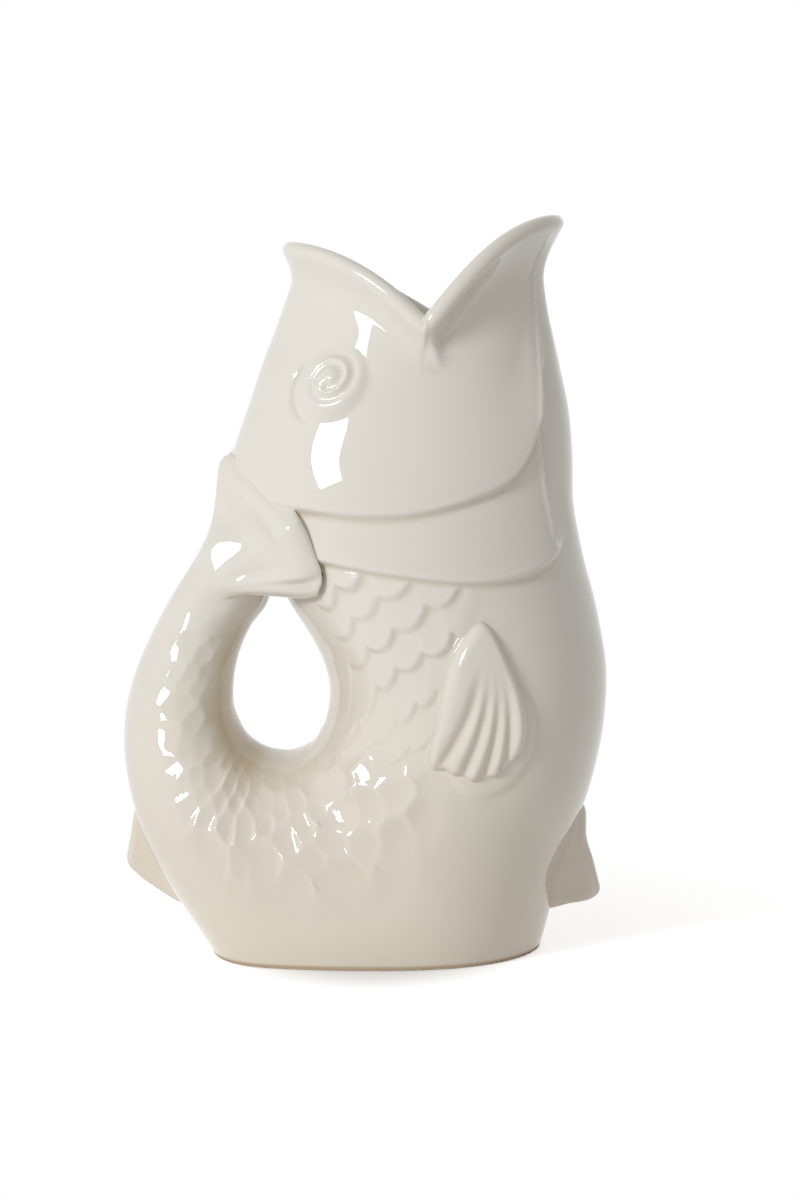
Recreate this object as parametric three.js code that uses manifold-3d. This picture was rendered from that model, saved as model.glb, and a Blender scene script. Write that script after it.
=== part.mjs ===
// Fish-shaped pouring jug of glazed pottery, in millimetres, +Z up.
// The fish stands on a flat foot with its open mouth upward. +X is the pouring side,
// and the tail curls up at -X to make the handle. The origin is on the ground, under the
// middle of the jug.

import * as THREE from 'three';
import Module from 'manifold-3d';

// Mouth
const FRONT_LIP_HEIGHT = 250;
const REAR_LIP_HEIGHT = 241.6;
const MOUTH_CORNER_HEIGHT = 217.5;
const MOUTH_CORNER_TURN = 0.535;
const FRONT_LIP_SWEEP = 3.5;
const REAR_LIP_SWEEP = 3.15;
const FRONT_LIP_FLARE = 8;
const REAR_LIP_FLARE = 6;
const FRONT_FLARE_DEPTH = 20;
const REAR_FLARE_DEPTH = 13;
const LIP_ROUND = 1.8;

// Walls
const WALL = 5;
const FLOOR = 6;

// Overall shape of the fish
const NECK_BACK = -24.5;
const NECK_FRONT = 60.2;
const NECK_WIDTH = 75;
const HEAD_BACK = -44.5;
const HEAD_FRONT = 70.8;
const HEAD_WIDTH = 95;
const BELLY_FRONT = 82.6;
const BELLY_WIDTH = 100;
const FOOT_FRONT = 54;
const FOOT_BACK = -57.5;
const TAIL_BACK = -82.3;
const TAIL_WIDTH = 66;
const TAIL_ROOT_WIDTH = 40;

// Finger hole between body and tail
const HOLE_FRONT = -11.8;
const HOLE_BACK = -45.6;
const HOLE_TOP = 117;
const HOLE_BOTTOM = 66;

// Gill cover and collar, as soft steps in the skin
const GILL_STEP = 1.8;
const GILL_FADE = 34;
const COLLAR_STEP = 1.6;
const STEP_RUN = 0.8;
const THROAT_TURN = 0.78;
const THROAT_FADE = 0.14;

// Gap left where one part meets the next
const SEAM_GAP = 0.3;

// Eyes
const EYE_TURN = 0.351;
const EYE_HEIGHT = 194.7;
const EYE_DIAMETER = 25;
const EYE_RISE = 4;
const EYE_SINK = 2.4;
const EYE_ROOT = 5;
const SPIRAL_TURNS = 1.75;
const SPIRAL_OUTER_RADIUS = 7.4;
const SPIRAL_INNER_RADIUS = 1.6;
const SPIRAL_START = 2.3;
const SPIRAL_GROOVE_RADIUS = 0.9;

// Side fins, each a fan of ribs spread from its tip
const FIN_THICKNESS = 4.6;
const FIN_TIP = [39.9, 115.8];
const FIN_GROOVE_DEPTH = 1.5;
const FIN_GROOVE_WIDTH = 2.6;
const FIN_GROOVE_START = 12;
const FIN_GROOVES = [
  { lean: -0.225, length: 51 },
  { lean: -0.075, length: 53 },
  { lean: 0.075, length: 51 },
  { lean: 0.215, length: 46 },
];

// Tail fin on the back of the head
const FLUKE_THICKNESS = 6;
const FLUKE_NOTCH_WIDTH = 34;
const FLUKE_NOTCH_HEIGHT = 157;

// Keel fins at the foot
const KEEL_THICKNESS = 7;
const KEEL_BEVEL = 1.6;

// Fineness of the surfaces
const REAR_TURN_STEPS = 11;
const FRONT_TURN_STEPS = 9;

// Stations along the fish. Each is a section through the body, from its back or
// hole-side point to its front or outer point, with its width across the jug and how
// square it is. Down to the belly they lie level, and their place along the fish is
// their depth under this height.
const TOP_LEVEL = 250;
const depthOf = (height) => TOP_LEVEL - height;
const STATIONS = [
  { at: depthOf(275), back: [-14, 275], front: [56, 275], width: 64, square: 2 },
  { at: depthOf(250), back: [-19, 250], front: [58.6, 250], width: 70, square: 2 },
  { at: depthOf(228), back: [NECK_BACK, 228], front: [NECK_FRONT, 228], width: NECK_WIDTH, square: 2 },
  { at: depthOf(210), back: [-31, 210], front: [63.6, 210], width: 81, square: 2.05 },
  { at: depthOf(190), back: [-38, 190], front: [68, 190], width: 88, square: 2.1 },
  { at: depthOf(170), back: [-43.7, 170], front: [70.4, 170], width: 93, square: 2.1 },
  { at: depthOf(154), back: [HEAD_BACK, 154], front: [HEAD_FRONT, 154], width: HEAD_WIDTH, square: 2.1 },
  { at: depthOf(138), back: [-38.5, 139], front: [73.6, 138], width: 0.97 * BELLY_WIDTH, square: 2.1 },
  { at: 127, back: [-30, 126], front: [77.2, 124], width: 0.99 * BELLY_WIDTH, square: 2.1 },
  { at: 142, back: [-21.5, 112.5], front: [80.7, 108], width: BELLY_WIDTH, square: 2.1 },
  { at: 158, back: [-14.5, 100], front: [BELLY_FRONT, 91], width: BELLY_WIDTH, square: 2.1 },
  { at: 174, back: [HOLE_FRONT, 87], front: [81, 73], width: 0.99 * BELLY_WIDTH, square: 2.1 },
  { at: 190, back: [-13.8, 77.5], front: [75.6, 51.5], width: 0.98 * BELLY_WIDTH, square: 2.15 },
  { at: 206, back: [-17.5, 71], front: [66.4, 25], width: 0.965 * BELLY_WIDTH, square: 2.3 },
  { at: 220, back: [-22, 67.5], front: [FOOT_FRONT, -12], width: 0.94 * BELLY_WIDTH, square: 2.5 },
  { at: 238, back: [-28.5, HOLE_BOTTOM], front: [10, -28], width: 0.92 * BELLY_WIDTH, square: 2.7 },
  { at: 256, back: [-34.5, 67.3], front: [-36, -18], width: 0.89 * BELLY_WIDTH, square: 2.5 },
  { at: 270, back: [-39, 70], front: [FOOT_BACK, 8], width: 0.85 * BELLY_WIDTH, square: 2.3 },
  { at: 286, back: [-43, 75], front: [-73.8, 35], width: 78, square: 2.1 },
  { at: 302, back: [HOLE_BACK, 83], front: [TAIL_BACK, 64], width: TAIL_WIDTH, square: 2 },
  { at: 318, back: [-44.9, 94], front: [-80.6, 88], width: 56, square: 2 },
  { at: 334, back: [-41.5, 105.5], front: [-71.6, 111], width: 48, square: 2 },
  { at: 350, back: [-35, HOLE_TOP], front: [-60, 131], width: TAIL_ROOT_WIDTH, square: 2 },
  { at: 366, back: [-27, 130], front: [-49, 149], width: 36, square: 2 },
];

// Places along the fish
const HEAD_END_AT = 127;
const BELLY_AT = 150;
const BELLY_END_AT = 176;
const JOINT_AT = 281;
const TAIL_HOLLOW_END_AT = 344;
const TAIL_END_AT = 366;

// Lower edges of the gill cover and of the collar behind it, as turn from the back
// around to the front against height
const GILL_EDGE = [
  [0, 150], [0.23, 153], [0.38, 151], [0.54, 150.3], [0.67, 153.6], [0.75, 158.5], [0.82, 169], [1, 178],
];
const COLLAR_EDGE = [
  [0, 139], [0.2, 138], [0.52, 130], [0.6, 129], [0.79, 135.5], [0.9, 145], [1, 151],
];

// Outline of a side fin seen from the side, from its tip around the ribs
const FIN_OUTLINE = [
  FIN_TIP, [33.6, 109.6], [28.4, 99.9], [25, 89.3], [22.9, 79.2], [21.8, 69.6], [24, 65.7], [28.9, 66.1],
  [33.7, 63.8], [39, 63.4], [44.3, 65.7], [49.1, 69.1], [52.5, 75.4], [53.8, 83.6], [50.4, 95.6],
  [45.5, 107.2],
];

// Outline of the tail fin seen from the side
const FLUKE_OUTLINE = [
  [-50, 169], [-44, 167.6], [-35.4, 161.4], [-25.8, 152.7], [-20.8, 146.4], [-17.4, 134.6], [-16.2, 127],
  [-18.4, 123], [-27, 122.5], [-38, 123.5], [-56, 134], [-58, 150], [-55, 165],
];

// Outlines of the keel fins seen from the side, rooted inside the body
const FRONT_KEEL_OUTLINE = [
  [60, 48], [74.8, 49], [76, 38], [78, 31], [80.2, 22.5], [80.6, 19], [78.8, 16.8], [70.4, 14.4], [61, 12],
  [52, 12],
];
const REAR_KEEL_OUTLINE = [
  [-64, 48], [-78.6, 47.5], [-81, 38], [-82.6, 31], [-82.6, 27.5], [-79.6, 23.8], [-70, 16.8], [-61, 13],
  [-50, 12],
];

const wasm = await Module();
wasm.setup();

const track = (keys, values) => new THREE.CubicInterpolant(keys, values.flat(), values[0].length);
const stationTrack = track(
  STATIONS.map((station) => station.at),
  STATIONS.map((station) => [...station.back, ...station.front, station.width / 2, station.square]),
);
const gillTrack = track(GILL_EDGE.map((key) => key[0]), GILL_EDGE.map((key) => [key[1]]));
const collarTrack = track(COLLAR_EDGE.map((key) => key[0]), COLLAR_EDGE.map((key) => [key[1]]));

const shares = (count) => Array.from({ length: count + 1 }, (_, index) => index / count);
const smoothStep = (value) => THREE.MathUtils.smoothstep(value, 0, 1);

// Angles around a section, with one at each corner of the mouth
const rearTurns = shares(REAR_TURN_STEPS).map((share) => share * MOUTH_CORNER_TURN);
const frontTurns = shares(FRONT_TURN_STEPS)
  .map((share) => MOUTH_CORNER_TURN + share * (1 - MOUTH_CORNER_TURN));
const halfTurns = [...rearTurns.slice(0, -1), ...frontTurns];
const turns = [...halfTurns, ...halfTurns.slice(1, -1).reverse().map((turn) => 2 - turn)];
const ANGLES = turns.map((turn) => turn * Math.PI);

// Turn around a section: 0 at the back or hole side, 1 at the front or outer side,
// the same on both flanks
const turnOf = (angle) => 1 - Math.abs(1 - angle / Math.PI);

// Places along the fish of its named edges
function rimAt(angle) {
  const turn = turnOf(angle);
  if (turn < MOUTH_CORNER_TURN) {
    const drop = (REAR_LIP_HEIGHT - MOUTH_CORNER_HEIGHT) * (turn / MOUTH_CORNER_TURN) ** REAR_LIP_SWEEP;
    return depthOf(REAR_LIP_HEIGHT - drop);
  }
  const fromFront = (1 - turn) / (1 - MOUTH_CORNER_TURN);
  const drop = (FRONT_LIP_HEIGHT - MOUTH_CORNER_HEIGHT) * fromFront ** FRONT_LIP_SWEEP;
  return depthOf(FRONT_LIP_HEIGHT - drop);
}
const gillAt = (angle) => depthOf(gillTrack.evaluate(turnOf(angle))[0]);
const collarAt = (angle) => depthOf(collarTrack.evaluate(turnOf(angle))[0]);
const stationAt = (at) => () => at;
const shifted = (guide, distance) => (angle) => guide(angle) + distance;
const between = (first, last, parts) =>
  parts.map((share) => (angle) => first(angle) * (1 - share) + last(angle) * share);

// How far the lips flare outward of the plain skin
function flare(angle, at) {
  const turn = smoothStep(turnOf(angle));
  const rise = THREE.MathUtils.lerp(REAR_LIP_FLARE, FRONT_LIP_FLARE, turn);
  const depth = THREE.MathUtils.lerp(REAR_FLARE_DEPTH, FRONT_FLARE_DEPTH, turn);
  return rise * (1 - smoothStep((at - rimAt(angle)) / depth));
}

// How far the gill cover and the collar stand out of the plain skin
function hood(angle, at) {
  const gill = gillAt(angle);
  const collar = collarAt(angle);
  const throat = 1 - smoothStep((turnOf(angle) - THROAT_TURN) / THROAT_FADE);
  const cover = smoothStep(1 - (gill - at) / GILL_FADE) * (1 - smoothStep((at - gill) / STEP_RUN + 0.5));
  const along = THREE.MathUtils.clamp((at - gill) / (collar - gill), 0, 1);
  const band = along * (1 - smoothStep((at - collar) / STEP_RUN + 0.5));
  return throat * (GILL_STEP * cover + COLLAR_STEP * band);
}

// A point of the skin, moved outward by a distance measured in its section
function skinPoint(angle, at, outward) {
  const [backX, backZ, frontX, frontZ, half, square] = stationTrack.evaluate(at);
  const reach = Math.hypot(frontX - backX, frontZ - backZ) / 2;
  const bend = (value) => Math.sign(value) * Math.abs(value) ** (2 / square);
  const along = -bend(Math.cos(angle));
  const across = -bend(Math.sin(angle));
  const slope = (value, size) => (Math.sign(value) * Math.abs(value) ** (square - 1)) / size;
  const normal = new THREE.Vector2(slope(along, reach), slope(across, half)).normalize();
  const run = along * reach + normal.x * outward;
  const toFront = new THREE.Vector2(frontX - backX, frontZ - backZ).normalize();
  return new THREE.Vector3(
    (backX + frontX) / 2 + toFront.x * run,
    across * half + normal.y * outward,
    (backZ + frontZ) / 2 + toFront.y * run,
  );
}

// Ring of points around the fish
const ring = (guide, outward) =>
  ANGLES.map((angle) => skinPoint(angle, guide(angle), outward(angle, guide(angle))));

const middle = (points) =>
  points.reduce((sum, point) => sum.add(point), new THREE.Vector3()).divideScalar(points.length);

// Surface through rings of points. It is closed end to end, or with a point at each end.
function skin(rings, endToEnd) {
  const count = ANGLES.length;
  const positions = rings.flat().flatMap((point) => point.toArray());
  const indices = [];
  const spans = endToEnd ? rings.length : rings.length - 1;
  for (let row = 0; row < spans; row += 1) {
    const next = (row + 1) % rings.length;
    for (let index = 0; index < count; index += 1) {
      const other = (index + 1) % count;
      const [a, b] = [row * count + index, row * count + other];
      const [c, d] = [next * count + index, next * count + other];
      indices.push(a, c, b, b, c, d);
    }
  }
  if (!endToEnd) {
    const [first, last] = [positions.length / 3, positions.length / 3 + 1];
    positions.push(...middle(rings[0]).toArray(), ...middle(rings[rings.length - 1]).toArray());
    const base = (rings.length - 1) * count;
    for (let index = 0; index < count; index += 1) {
      const other = (index + 1) % count;
      indices.push(first, index, other, last, base + other, base + index);
    }
  }
  const geometry = new THREE.BufferGeometry();
  geometry.setAttribute('position', new THREE.Float32BufferAttribute(positions, 3));
  geometry.setIndex(indices);
  return geometry;
}

// Solid from a closed surface
function solid(geometry) {
  const position = geometry.attributes.position;
  const places = new Map();
  const vertices = [];
  const corners = [];
  for (let index = 0; index < position.count; index += 1) {
    const point = [position.getX(index), position.getY(index), position.getZ(index)];
    const place = point.map((value) => Math.round(value * 1e4)).join();
    if (!places.has(place)) {
      places.set(place, vertices.length / 3);
      vertices.push(...point);
    }
    corners.push(places.get(place));
  }
  const order = geometry.index ? Array.from(geometry.index.array) : corners.map((_, index) => index);
  const triangles = [];
  for (let index = 0; index < order.length; index += 3) {
    const [a, b, c] = order.slice(index, index + 3).map((corner) => corners[corner]);
    if (a !== b && b !== c && c !== a) triangles.push(a, b, c);
  }
  return new wasm.Manifold(new wasm.Mesh({
    numProp: 3,
    vertProperties: new Float32Array(vertices),
    triVerts: new Uint32Array(triangles),
  }));
}

// Plate with a smooth outline drawn in side view, running across the jug
function sidePlate(outline, fromY, toY, bevel) {
  const points = outline.map(([x, z]) => new THREE.Vector3(x, z, 0));
  const curve = new THREE.CatmullRomCurve3(points, true);
  const shape = new THREE.Shape(curve.getPoints(outline.length * 2).slice(0, -1));
  const geometry = new THREE.ExtrudeGeometry(shape, {
    depth: toY - fromY - 2 * bevel,
    bevelEnabled: bevel > 0,
    bevelThickness: bevel,
    bevelSize: bevel,
    bevelOffset: -bevel,
    bevelSegments: 2,
  });
  return solid(geometry.rotateX(Math.PI / 2).translate(0, toY - bevel, 0));
}

// Whole body: up the inside from the joint, over the lip and down the outer skin, cut flat
// to stand on
const outerShape = (angle, at) => flare(angle, at) + hood(angle, at);
const bodyOuter = [
  ...between(shifted(rimAt, LIP_ROUND), gillAt, [0, 0.04, 0.1, 0.17, 0.25, 0.36, 0.54, 0.7, 0.86]),
  shifted(gillAt, -STEP_RUN / 2),
  shifted(gillAt, STEP_RUN / 2),
  ...between(gillAt, collarAt, [0.5]),
  shifted(collarAt, -STEP_RUN / 2),
  shifted(collarAt, STEP_RUN / 2),
  ...between(collarAt, stationAt(BELLY_AT), [0.5]),
  ...between(stationAt(BELLY_AT), stationAt(JOINT_AT), shares(17)),
];
const bodyInner = [
  ...between(stationAt(JOINT_AT), stationAt(BELLY_AT), shares(11)),
  ...between(stationAt(BELLY_AT), shifted(rimAt, LIP_ROUND), [0.2, 0.4, 0.6, 0.76, 0.84, 0.9, 0.95, 1]),
];
const innerRings = bodyInner.map((guide) => ring(guide, (angle, at) => flare(angle, at) - WALL)
  .map((point) => point.setZ(Math.max(point.z, FLOOR))));
const lipCrest = ring(rimAt, (angle, at) => flare(angle, at) - WALL / 2);
const outerRings = bodyOuter.map((guide) => ring(guide, outerShape));
const aboveGround = solid(new THREE.BoxGeometry(400, 200, 400).translate(0, 0, 200));
const bodyShell = solid(skin([...innerRings, lipCrest, ...outerRings], true)).intersect(aboveGround);

// Head, belly and foot: the body cut square to the fish, with a gap at each cut
function beyond(body, at, towards) {
  const [backX, backZ, frontX, frontZ] = stationTrack.evaluate(at);
  const tailward = new THREE.Vector3(frontZ - backZ, 0, backX - frontX).normalize().multiplyScalar(towards);
  const start = tailward.dot(new THREE.Vector3(backX, 0, backZ));
  return body.trimByPlane(tailward.toArray(), start + SEAM_GAP / 2);
}
const headShell = beyond(bodyShell, HEAD_END_AT, -1);
const bellyShell = beyond(beyond(bodyShell, HEAD_END_AT, 1), BELLY_END_AT, -1);
const footShell = beyond(bodyShell, BELLY_END_AT, 1);

// Filled body, grown outward by a distance, for shaping what sits on it
const bodyFilled = (grow) =>
  solid(skin(bodyOuter.map((guide) => ring(guide, (angle, at) => outerShape(angle, at) + grow)), false));
const bodyCut = bodyFilled(SEAM_GAP);

// Tail: hollow from the joint, closed where it reaches the back of the head
const tailRoot = stationAt(JOINT_AT + 2 * SEAM_GAP);
const tailOuter = between(tailRoot, stationAt(TAIL_END_AT), shares(12));
const tailInner = between(stationAt(TAIL_HOLLOW_END_AT), tailRoot, shares(8));
const tailRings = [
  ...tailInner.map((guide) => ring(guide, () => -WALL)),
  ...tailOuter.map((guide) => ring(guide, () => 0)),
];
const tailHandle = solid(skin(tailRings, false)).subtract(bodyCut);
const tailCutGuides = [stationAt(JOINT_AT - WALL), ...tailOuter];
const tailCut = solid(skin(tailCutGuides.map((guide) => ring(guide, () => SEAM_GAP)), false));

// Tail fin: a thick leaf over the back of the head, with a notch between its lobes
const flukeTop = Math.max(...FLUKE_OUTLINE.map((point) => point[1])) + 5;
const notchShape = new THREE.Shape([
  new THREE.Vector2(0, FLUKE_NOTCH_HEIGHT),
  new THREE.Vector2(FLUKE_NOTCH_WIDTH * 0.2, (FLUKE_NOTCH_HEIGHT + flukeTop) / 2),
  new THREE.Vector2(FLUKE_NOTCH_WIDTH / 2, flukeTop),
  new THREE.Vector2(-FLUKE_NOTCH_WIDTH / 2, flukeTop),
  new THREE.Vector2(-FLUKE_NOTCH_WIDTH * 0.2, (FLUKE_NOTCH_HEIGHT + flukeTop) / 2),
]);
const notch = solid(new THREE.ExtrudeGeometry(notchShape, { depth: -2 * HEAD_BACK, bevelEnabled: false })
  .rotateX(Math.PI / 2).rotateZ(-Math.PI / 2));
const flukeLeaf = sidePlate(FLUKE_OUTLINE, -HEAD_WIDTH, HEAD_WIDTH, 0);
const tailFluke = flukeLeaf.intersect(bodyFilled(FLUKE_THICKNESS))
  .subtract(bodyCut).subtract(tailCut).subtract(notch);

// Side fins: leaves on the flanks, with grooves between their ribs
function groovePlate({ lean, length }) {
  const ray = new THREE.Vector2(Math.sin(lean), -Math.cos(lean));
  const across = new THREE.Vector2(-ray.y, ray.x).multiplyScalar(FIN_GROOVE_WIDTH / 2);
  const start = new THREE.Vector2(...FIN_TIP).addScaledVector(ray, FIN_GROOVE_START);
  const end = new THREE.Vector2(...FIN_TIP).addScaledVector(ray, length + FIN_GROOVE_WIDTH);
  const shape = new THREE.Shape([start, end.clone().sub(across), end.clone().add(across)]);
  const geometry = new THREE.ExtrudeGeometry(shape, { depth: 2 * BELLY_WIDTH, bevelEnabled: false });
  return solid(geometry.rotateX(Math.PI / 2).translate(0, BELLY_WIDTH, 0));
}
const grooves = FIN_GROOVES.map(groovePlate).reduce((all, plate) => all.add(plate))
  .subtract(bodyFilled(FIN_THICKNESS - FIN_GROOVE_DEPTH));
const finSkin = bodyFilled(FIN_THICKNESS).subtract(bodyCut).subtract(grooves);
const finRight = sidePlate(FIN_OUTLINE, -BELLY_WIDTH, 0, 0).intersect(finSkin);
const finLeft = sidePlate(FIN_OUTLINE, 0, BELLY_WIDTH, 0).intersect(finSkin);

// Keel fins: thick leaves on the centre plane, against the foot
const keelFin = (outline) => sidePlate(outline, -KEEL_THICKNESS / 2, KEEL_THICKNESS / 2, KEEL_BEVEL)
  .subtract(bodyCut).subtract(tailCut);
const frontKeelFin = keelFin(FRONT_KEEL_OUTLINE);
const rearKeelFin = keelFin(REAR_KEEL_OUTLINE);

// Eyes: low domes set square to the skin, each with a spiral groove, on the flank given
// by the sign
const domeHeight = EYE_RISE + EYE_SINK;
const domeCurve = new THREE.EllipseCurve(0, -EYE_SINK, EYE_DIAMETER / 2, domeHeight, 0, Math.PI / 2);
const eyeProfile = [
  new THREE.Vector2(0, -EYE_ROOT),
  new THREE.Vector2(EYE_DIAMETER / 2, -EYE_ROOT),
  ...domeCurve.getPoints(6).slice(0, -1),
  new THREE.Vector2(0, EYE_RISE),
];
function spiralGroove(side) {
  const points = shares(28).map((share) => {
    const radius = THREE.MathUtils.lerp(SPIRAL_OUTER_RADIUS, SPIRAL_INNER_RADIUS, share);
    const angle = SPIRAL_START - share * SPIRAL_TURNS * 2 * Math.PI;
    const height = domeHeight * Math.sqrt(1 - (2 * radius / EYE_DIAMETER) ** 2) - EYE_SINK;
    return new THREE.Vector3(side * radius * Math.cos(angle), radius * Math.sin(angle), height);
  });
  const round = new THREE.EllipseCurve(0, 0, SPIRAL_GROOVE_RADIUS, SPIRAL_GROOVE_RADIUS);
  const section = new THREE.Shape(round.getPoints(6).slice(0, -1));
  const path = new THREE.CatmullRomCurve3(points);
  return solid(new THREE.ExtrudeGeometry(section, { steps: 40, extrudePath: path }));
}
function eye(side) {
  const angle = side * Math.PI * EYE_TURN;
  const at = depthOf(EYE_HEIGHT);
  const seat = skinPoint(angle, at, 0);
  const alongFish = skinPoint(angle, at + 1, 0).sub(seat);
  const aroundFish = skinPoint(angle + side * 0.02, at, 0).sub(seat);
  const outward = alongFish.cross(aroundFish).normalize().multiplyScalar(side);
  const right = new THREE.Vector3(0, 0, 1).cross(outward).normalize();
  const up = outward.clone().cross(right);
  const place = new THREE.Matrix4().makeBasis(right, up, outward).setPosition(seat);
  const dome = solid(new THREE.LatheGeometry(eyeProfile, 28).rotateX(Math.PI / 2));
  return dome.subtract(spiralGroove(side)).transform(place.elements).subtract(bodyCut);
}

// Named parts with their glaze
const group = new THREE.Group();
group.name = 'fish_jug';
function addPart(name, part, colour) {
  const mesh = part.getMesh();
  const geometry = new THREE.BufferGeometry();
  geometry.setAttribute('position', new THREE.Float32BufferAttribute(mesh.vertProperties, 3));
  geometry.setIndex(Array.from(mesh.triVerts));
  geometry.computeVertexNormals();
  const material = new THREE.MeshStandardMaterial({ color: colour, roughness: 0.12, metalness: 0 });
  const node = new THREE.Mesh(geometry, material);
  node.name = name;
  group.add(node);
}
addPart('head_shell', headShell, 0xe6e1d4);
addPart('belly_shell', bellyShell, 0xe6e1d4);
addPart('foot_shell', footShell, 0xe6e1d4);
addPart('tail_handle', tailHandle, 0xe4dfd1);
addPart('tail_fluke', tailFluke, 0xe4dfd1);
addPart('pectoral_fin_left', finLeft, 0xe6e1d4);
addPart('pectoral_fin_right', finRight, 0xe6e1d4);
addPart('front_keel_fin', frontKeelFin, 0xe6e1d4);
addPart('rear_keel_fin', rearKeelFin, 0xe6e1d4);
addPart('eye_left', eye(-1), 0xe8e3d7);
addPart('eye_right', eye(1), 0xe8e3d7);

export default group;
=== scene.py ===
"""Fish-shaped pouring jug of glazed pottery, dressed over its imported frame.

The fish stands on a flat foot with its open mouth upward, and its tail curls up to the back
of the head as the handle. Shapes are worked out in millimetres and made in metres. A span
holds where a ramp starts and how far it runs, and a bump holds its height, its place and its
half width.
"""

import logging
import math
from dataclasses import dataclass, field
from enum import Enum

import bmesh
import bpy
import numpy as np
from mathutils import Matrix, Quaternion, Vector


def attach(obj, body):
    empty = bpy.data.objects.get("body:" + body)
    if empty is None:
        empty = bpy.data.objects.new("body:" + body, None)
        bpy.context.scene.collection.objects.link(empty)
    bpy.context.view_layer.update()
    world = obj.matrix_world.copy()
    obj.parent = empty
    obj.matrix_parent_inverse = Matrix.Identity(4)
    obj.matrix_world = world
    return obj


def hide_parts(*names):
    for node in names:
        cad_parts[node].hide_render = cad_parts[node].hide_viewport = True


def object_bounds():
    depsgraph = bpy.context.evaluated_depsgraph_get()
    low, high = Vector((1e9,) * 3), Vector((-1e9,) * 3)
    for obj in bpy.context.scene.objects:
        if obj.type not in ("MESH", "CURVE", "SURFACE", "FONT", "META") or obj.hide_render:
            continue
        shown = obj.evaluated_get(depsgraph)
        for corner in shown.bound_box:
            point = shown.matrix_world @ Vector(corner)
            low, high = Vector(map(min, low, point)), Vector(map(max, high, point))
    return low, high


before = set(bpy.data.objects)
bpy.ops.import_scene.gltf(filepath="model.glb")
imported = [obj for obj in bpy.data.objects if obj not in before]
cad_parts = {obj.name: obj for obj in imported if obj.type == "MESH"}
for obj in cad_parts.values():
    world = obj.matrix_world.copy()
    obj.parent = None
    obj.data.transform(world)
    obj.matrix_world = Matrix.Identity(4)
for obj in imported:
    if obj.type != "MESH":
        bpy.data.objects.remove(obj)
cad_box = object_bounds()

LOG = logging.getLogger("fish_jug")
MM = 0.001
# Height of the jug, in millimetres
TOP = cad_box[1][2] / MM
# Largest gap that welding closes, in metres
MERGE_GAP = 1e-6
# Pooling of the glaze where it lies evenly
PLAIN_POOL = 0.5
# Degrees around the fish and place along it
EYE_PLACE = (63.2, 55.3)
Array = np.ndarray
Piece = bpy.types.Object
Tree = bpy.types.NodeTree
Socket = bpy.types.NodeSocket
Colour = Socket | tuple


class Side(Enum):
    """The flank of the fish that a paired piece sits on, as the sign of its angle."""

    LEFT = -1
    RIGHT = 1


class Slot(Enum):
    """Names of material slots."""

    BODY = "body_glaze"
    TAIL = "tail_glaze"
    FIN = "fin_glaze"
    EYE = "eye_glaze"


def smooth_step(value: Array) -> Array:
    """Return the smooth ramp from 0 to 1 of a value."""
    clipped = np.clip(value, 0.0, 1.0)
    return clipped * clipped * (3.0 - 2.0 * clipped)


def ramp(value: Array, start: float, run: float) -> Array:
    """Return the smooth ramp that leaves 0 at a start and reaches 1 after a run."""
    return smooth_step((value - start) / run)


def band(value: Array, rise: tuple, fall: tuple) -> Array:
    """Return a smooth band that rises and falls, each given by its start and run."""
    return ramp(value, *rise) * (1.0 - ramp(value, *fall))


def bell(value: Array) -> Array:
    """Return a smooth bump, 1 at zero and fading out past one."""
    return np.exp(-np.square(value))


def bump(value: Array, height: float, place: float, half_width: float) -> Array:
    """Return a bump of a height at a place."""
    return height * bell((value - place) / half_width)


def oval(first: Array, second: Array, centre: tuple, half: tuple) -> Array:
    """Return the distance from an oval's centre, as a share of the oval's half sizes."""
    return np.hypot((first - centre[0]) / half[0], (second - centre[1]) / half[1])


def rounded(inward: Array, run: Array, power: Array = 0.5) -> Array:
    """Return the rounding of an edge, from 0 at the edge to 1 at a run inward."""
    close = np.clip(1.0 - inward / run, 0.0, 1.0)
    return (1.0 - close**2) ** power


def unit(vectors: Array) -> Array:
    """Return vectors brought to length one."""
    return vectors / np.linalg.norm(vectors, axis=-1, keepdims=True)


def turn_of(angle: Array) -> Array:
    """Return the turn around the fish, 0 at the back and 1 at the front, of an angle."""
    return 1.0 - np.abs(1.0 - np.asarray(angle) / math.pi)


def degrees_of(angle: Array) -> Array:
    """Return the degrees around the fish, 0 at the back and 180 at the front, of an angle."""
    return turn_of(angle) * 180.0


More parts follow.
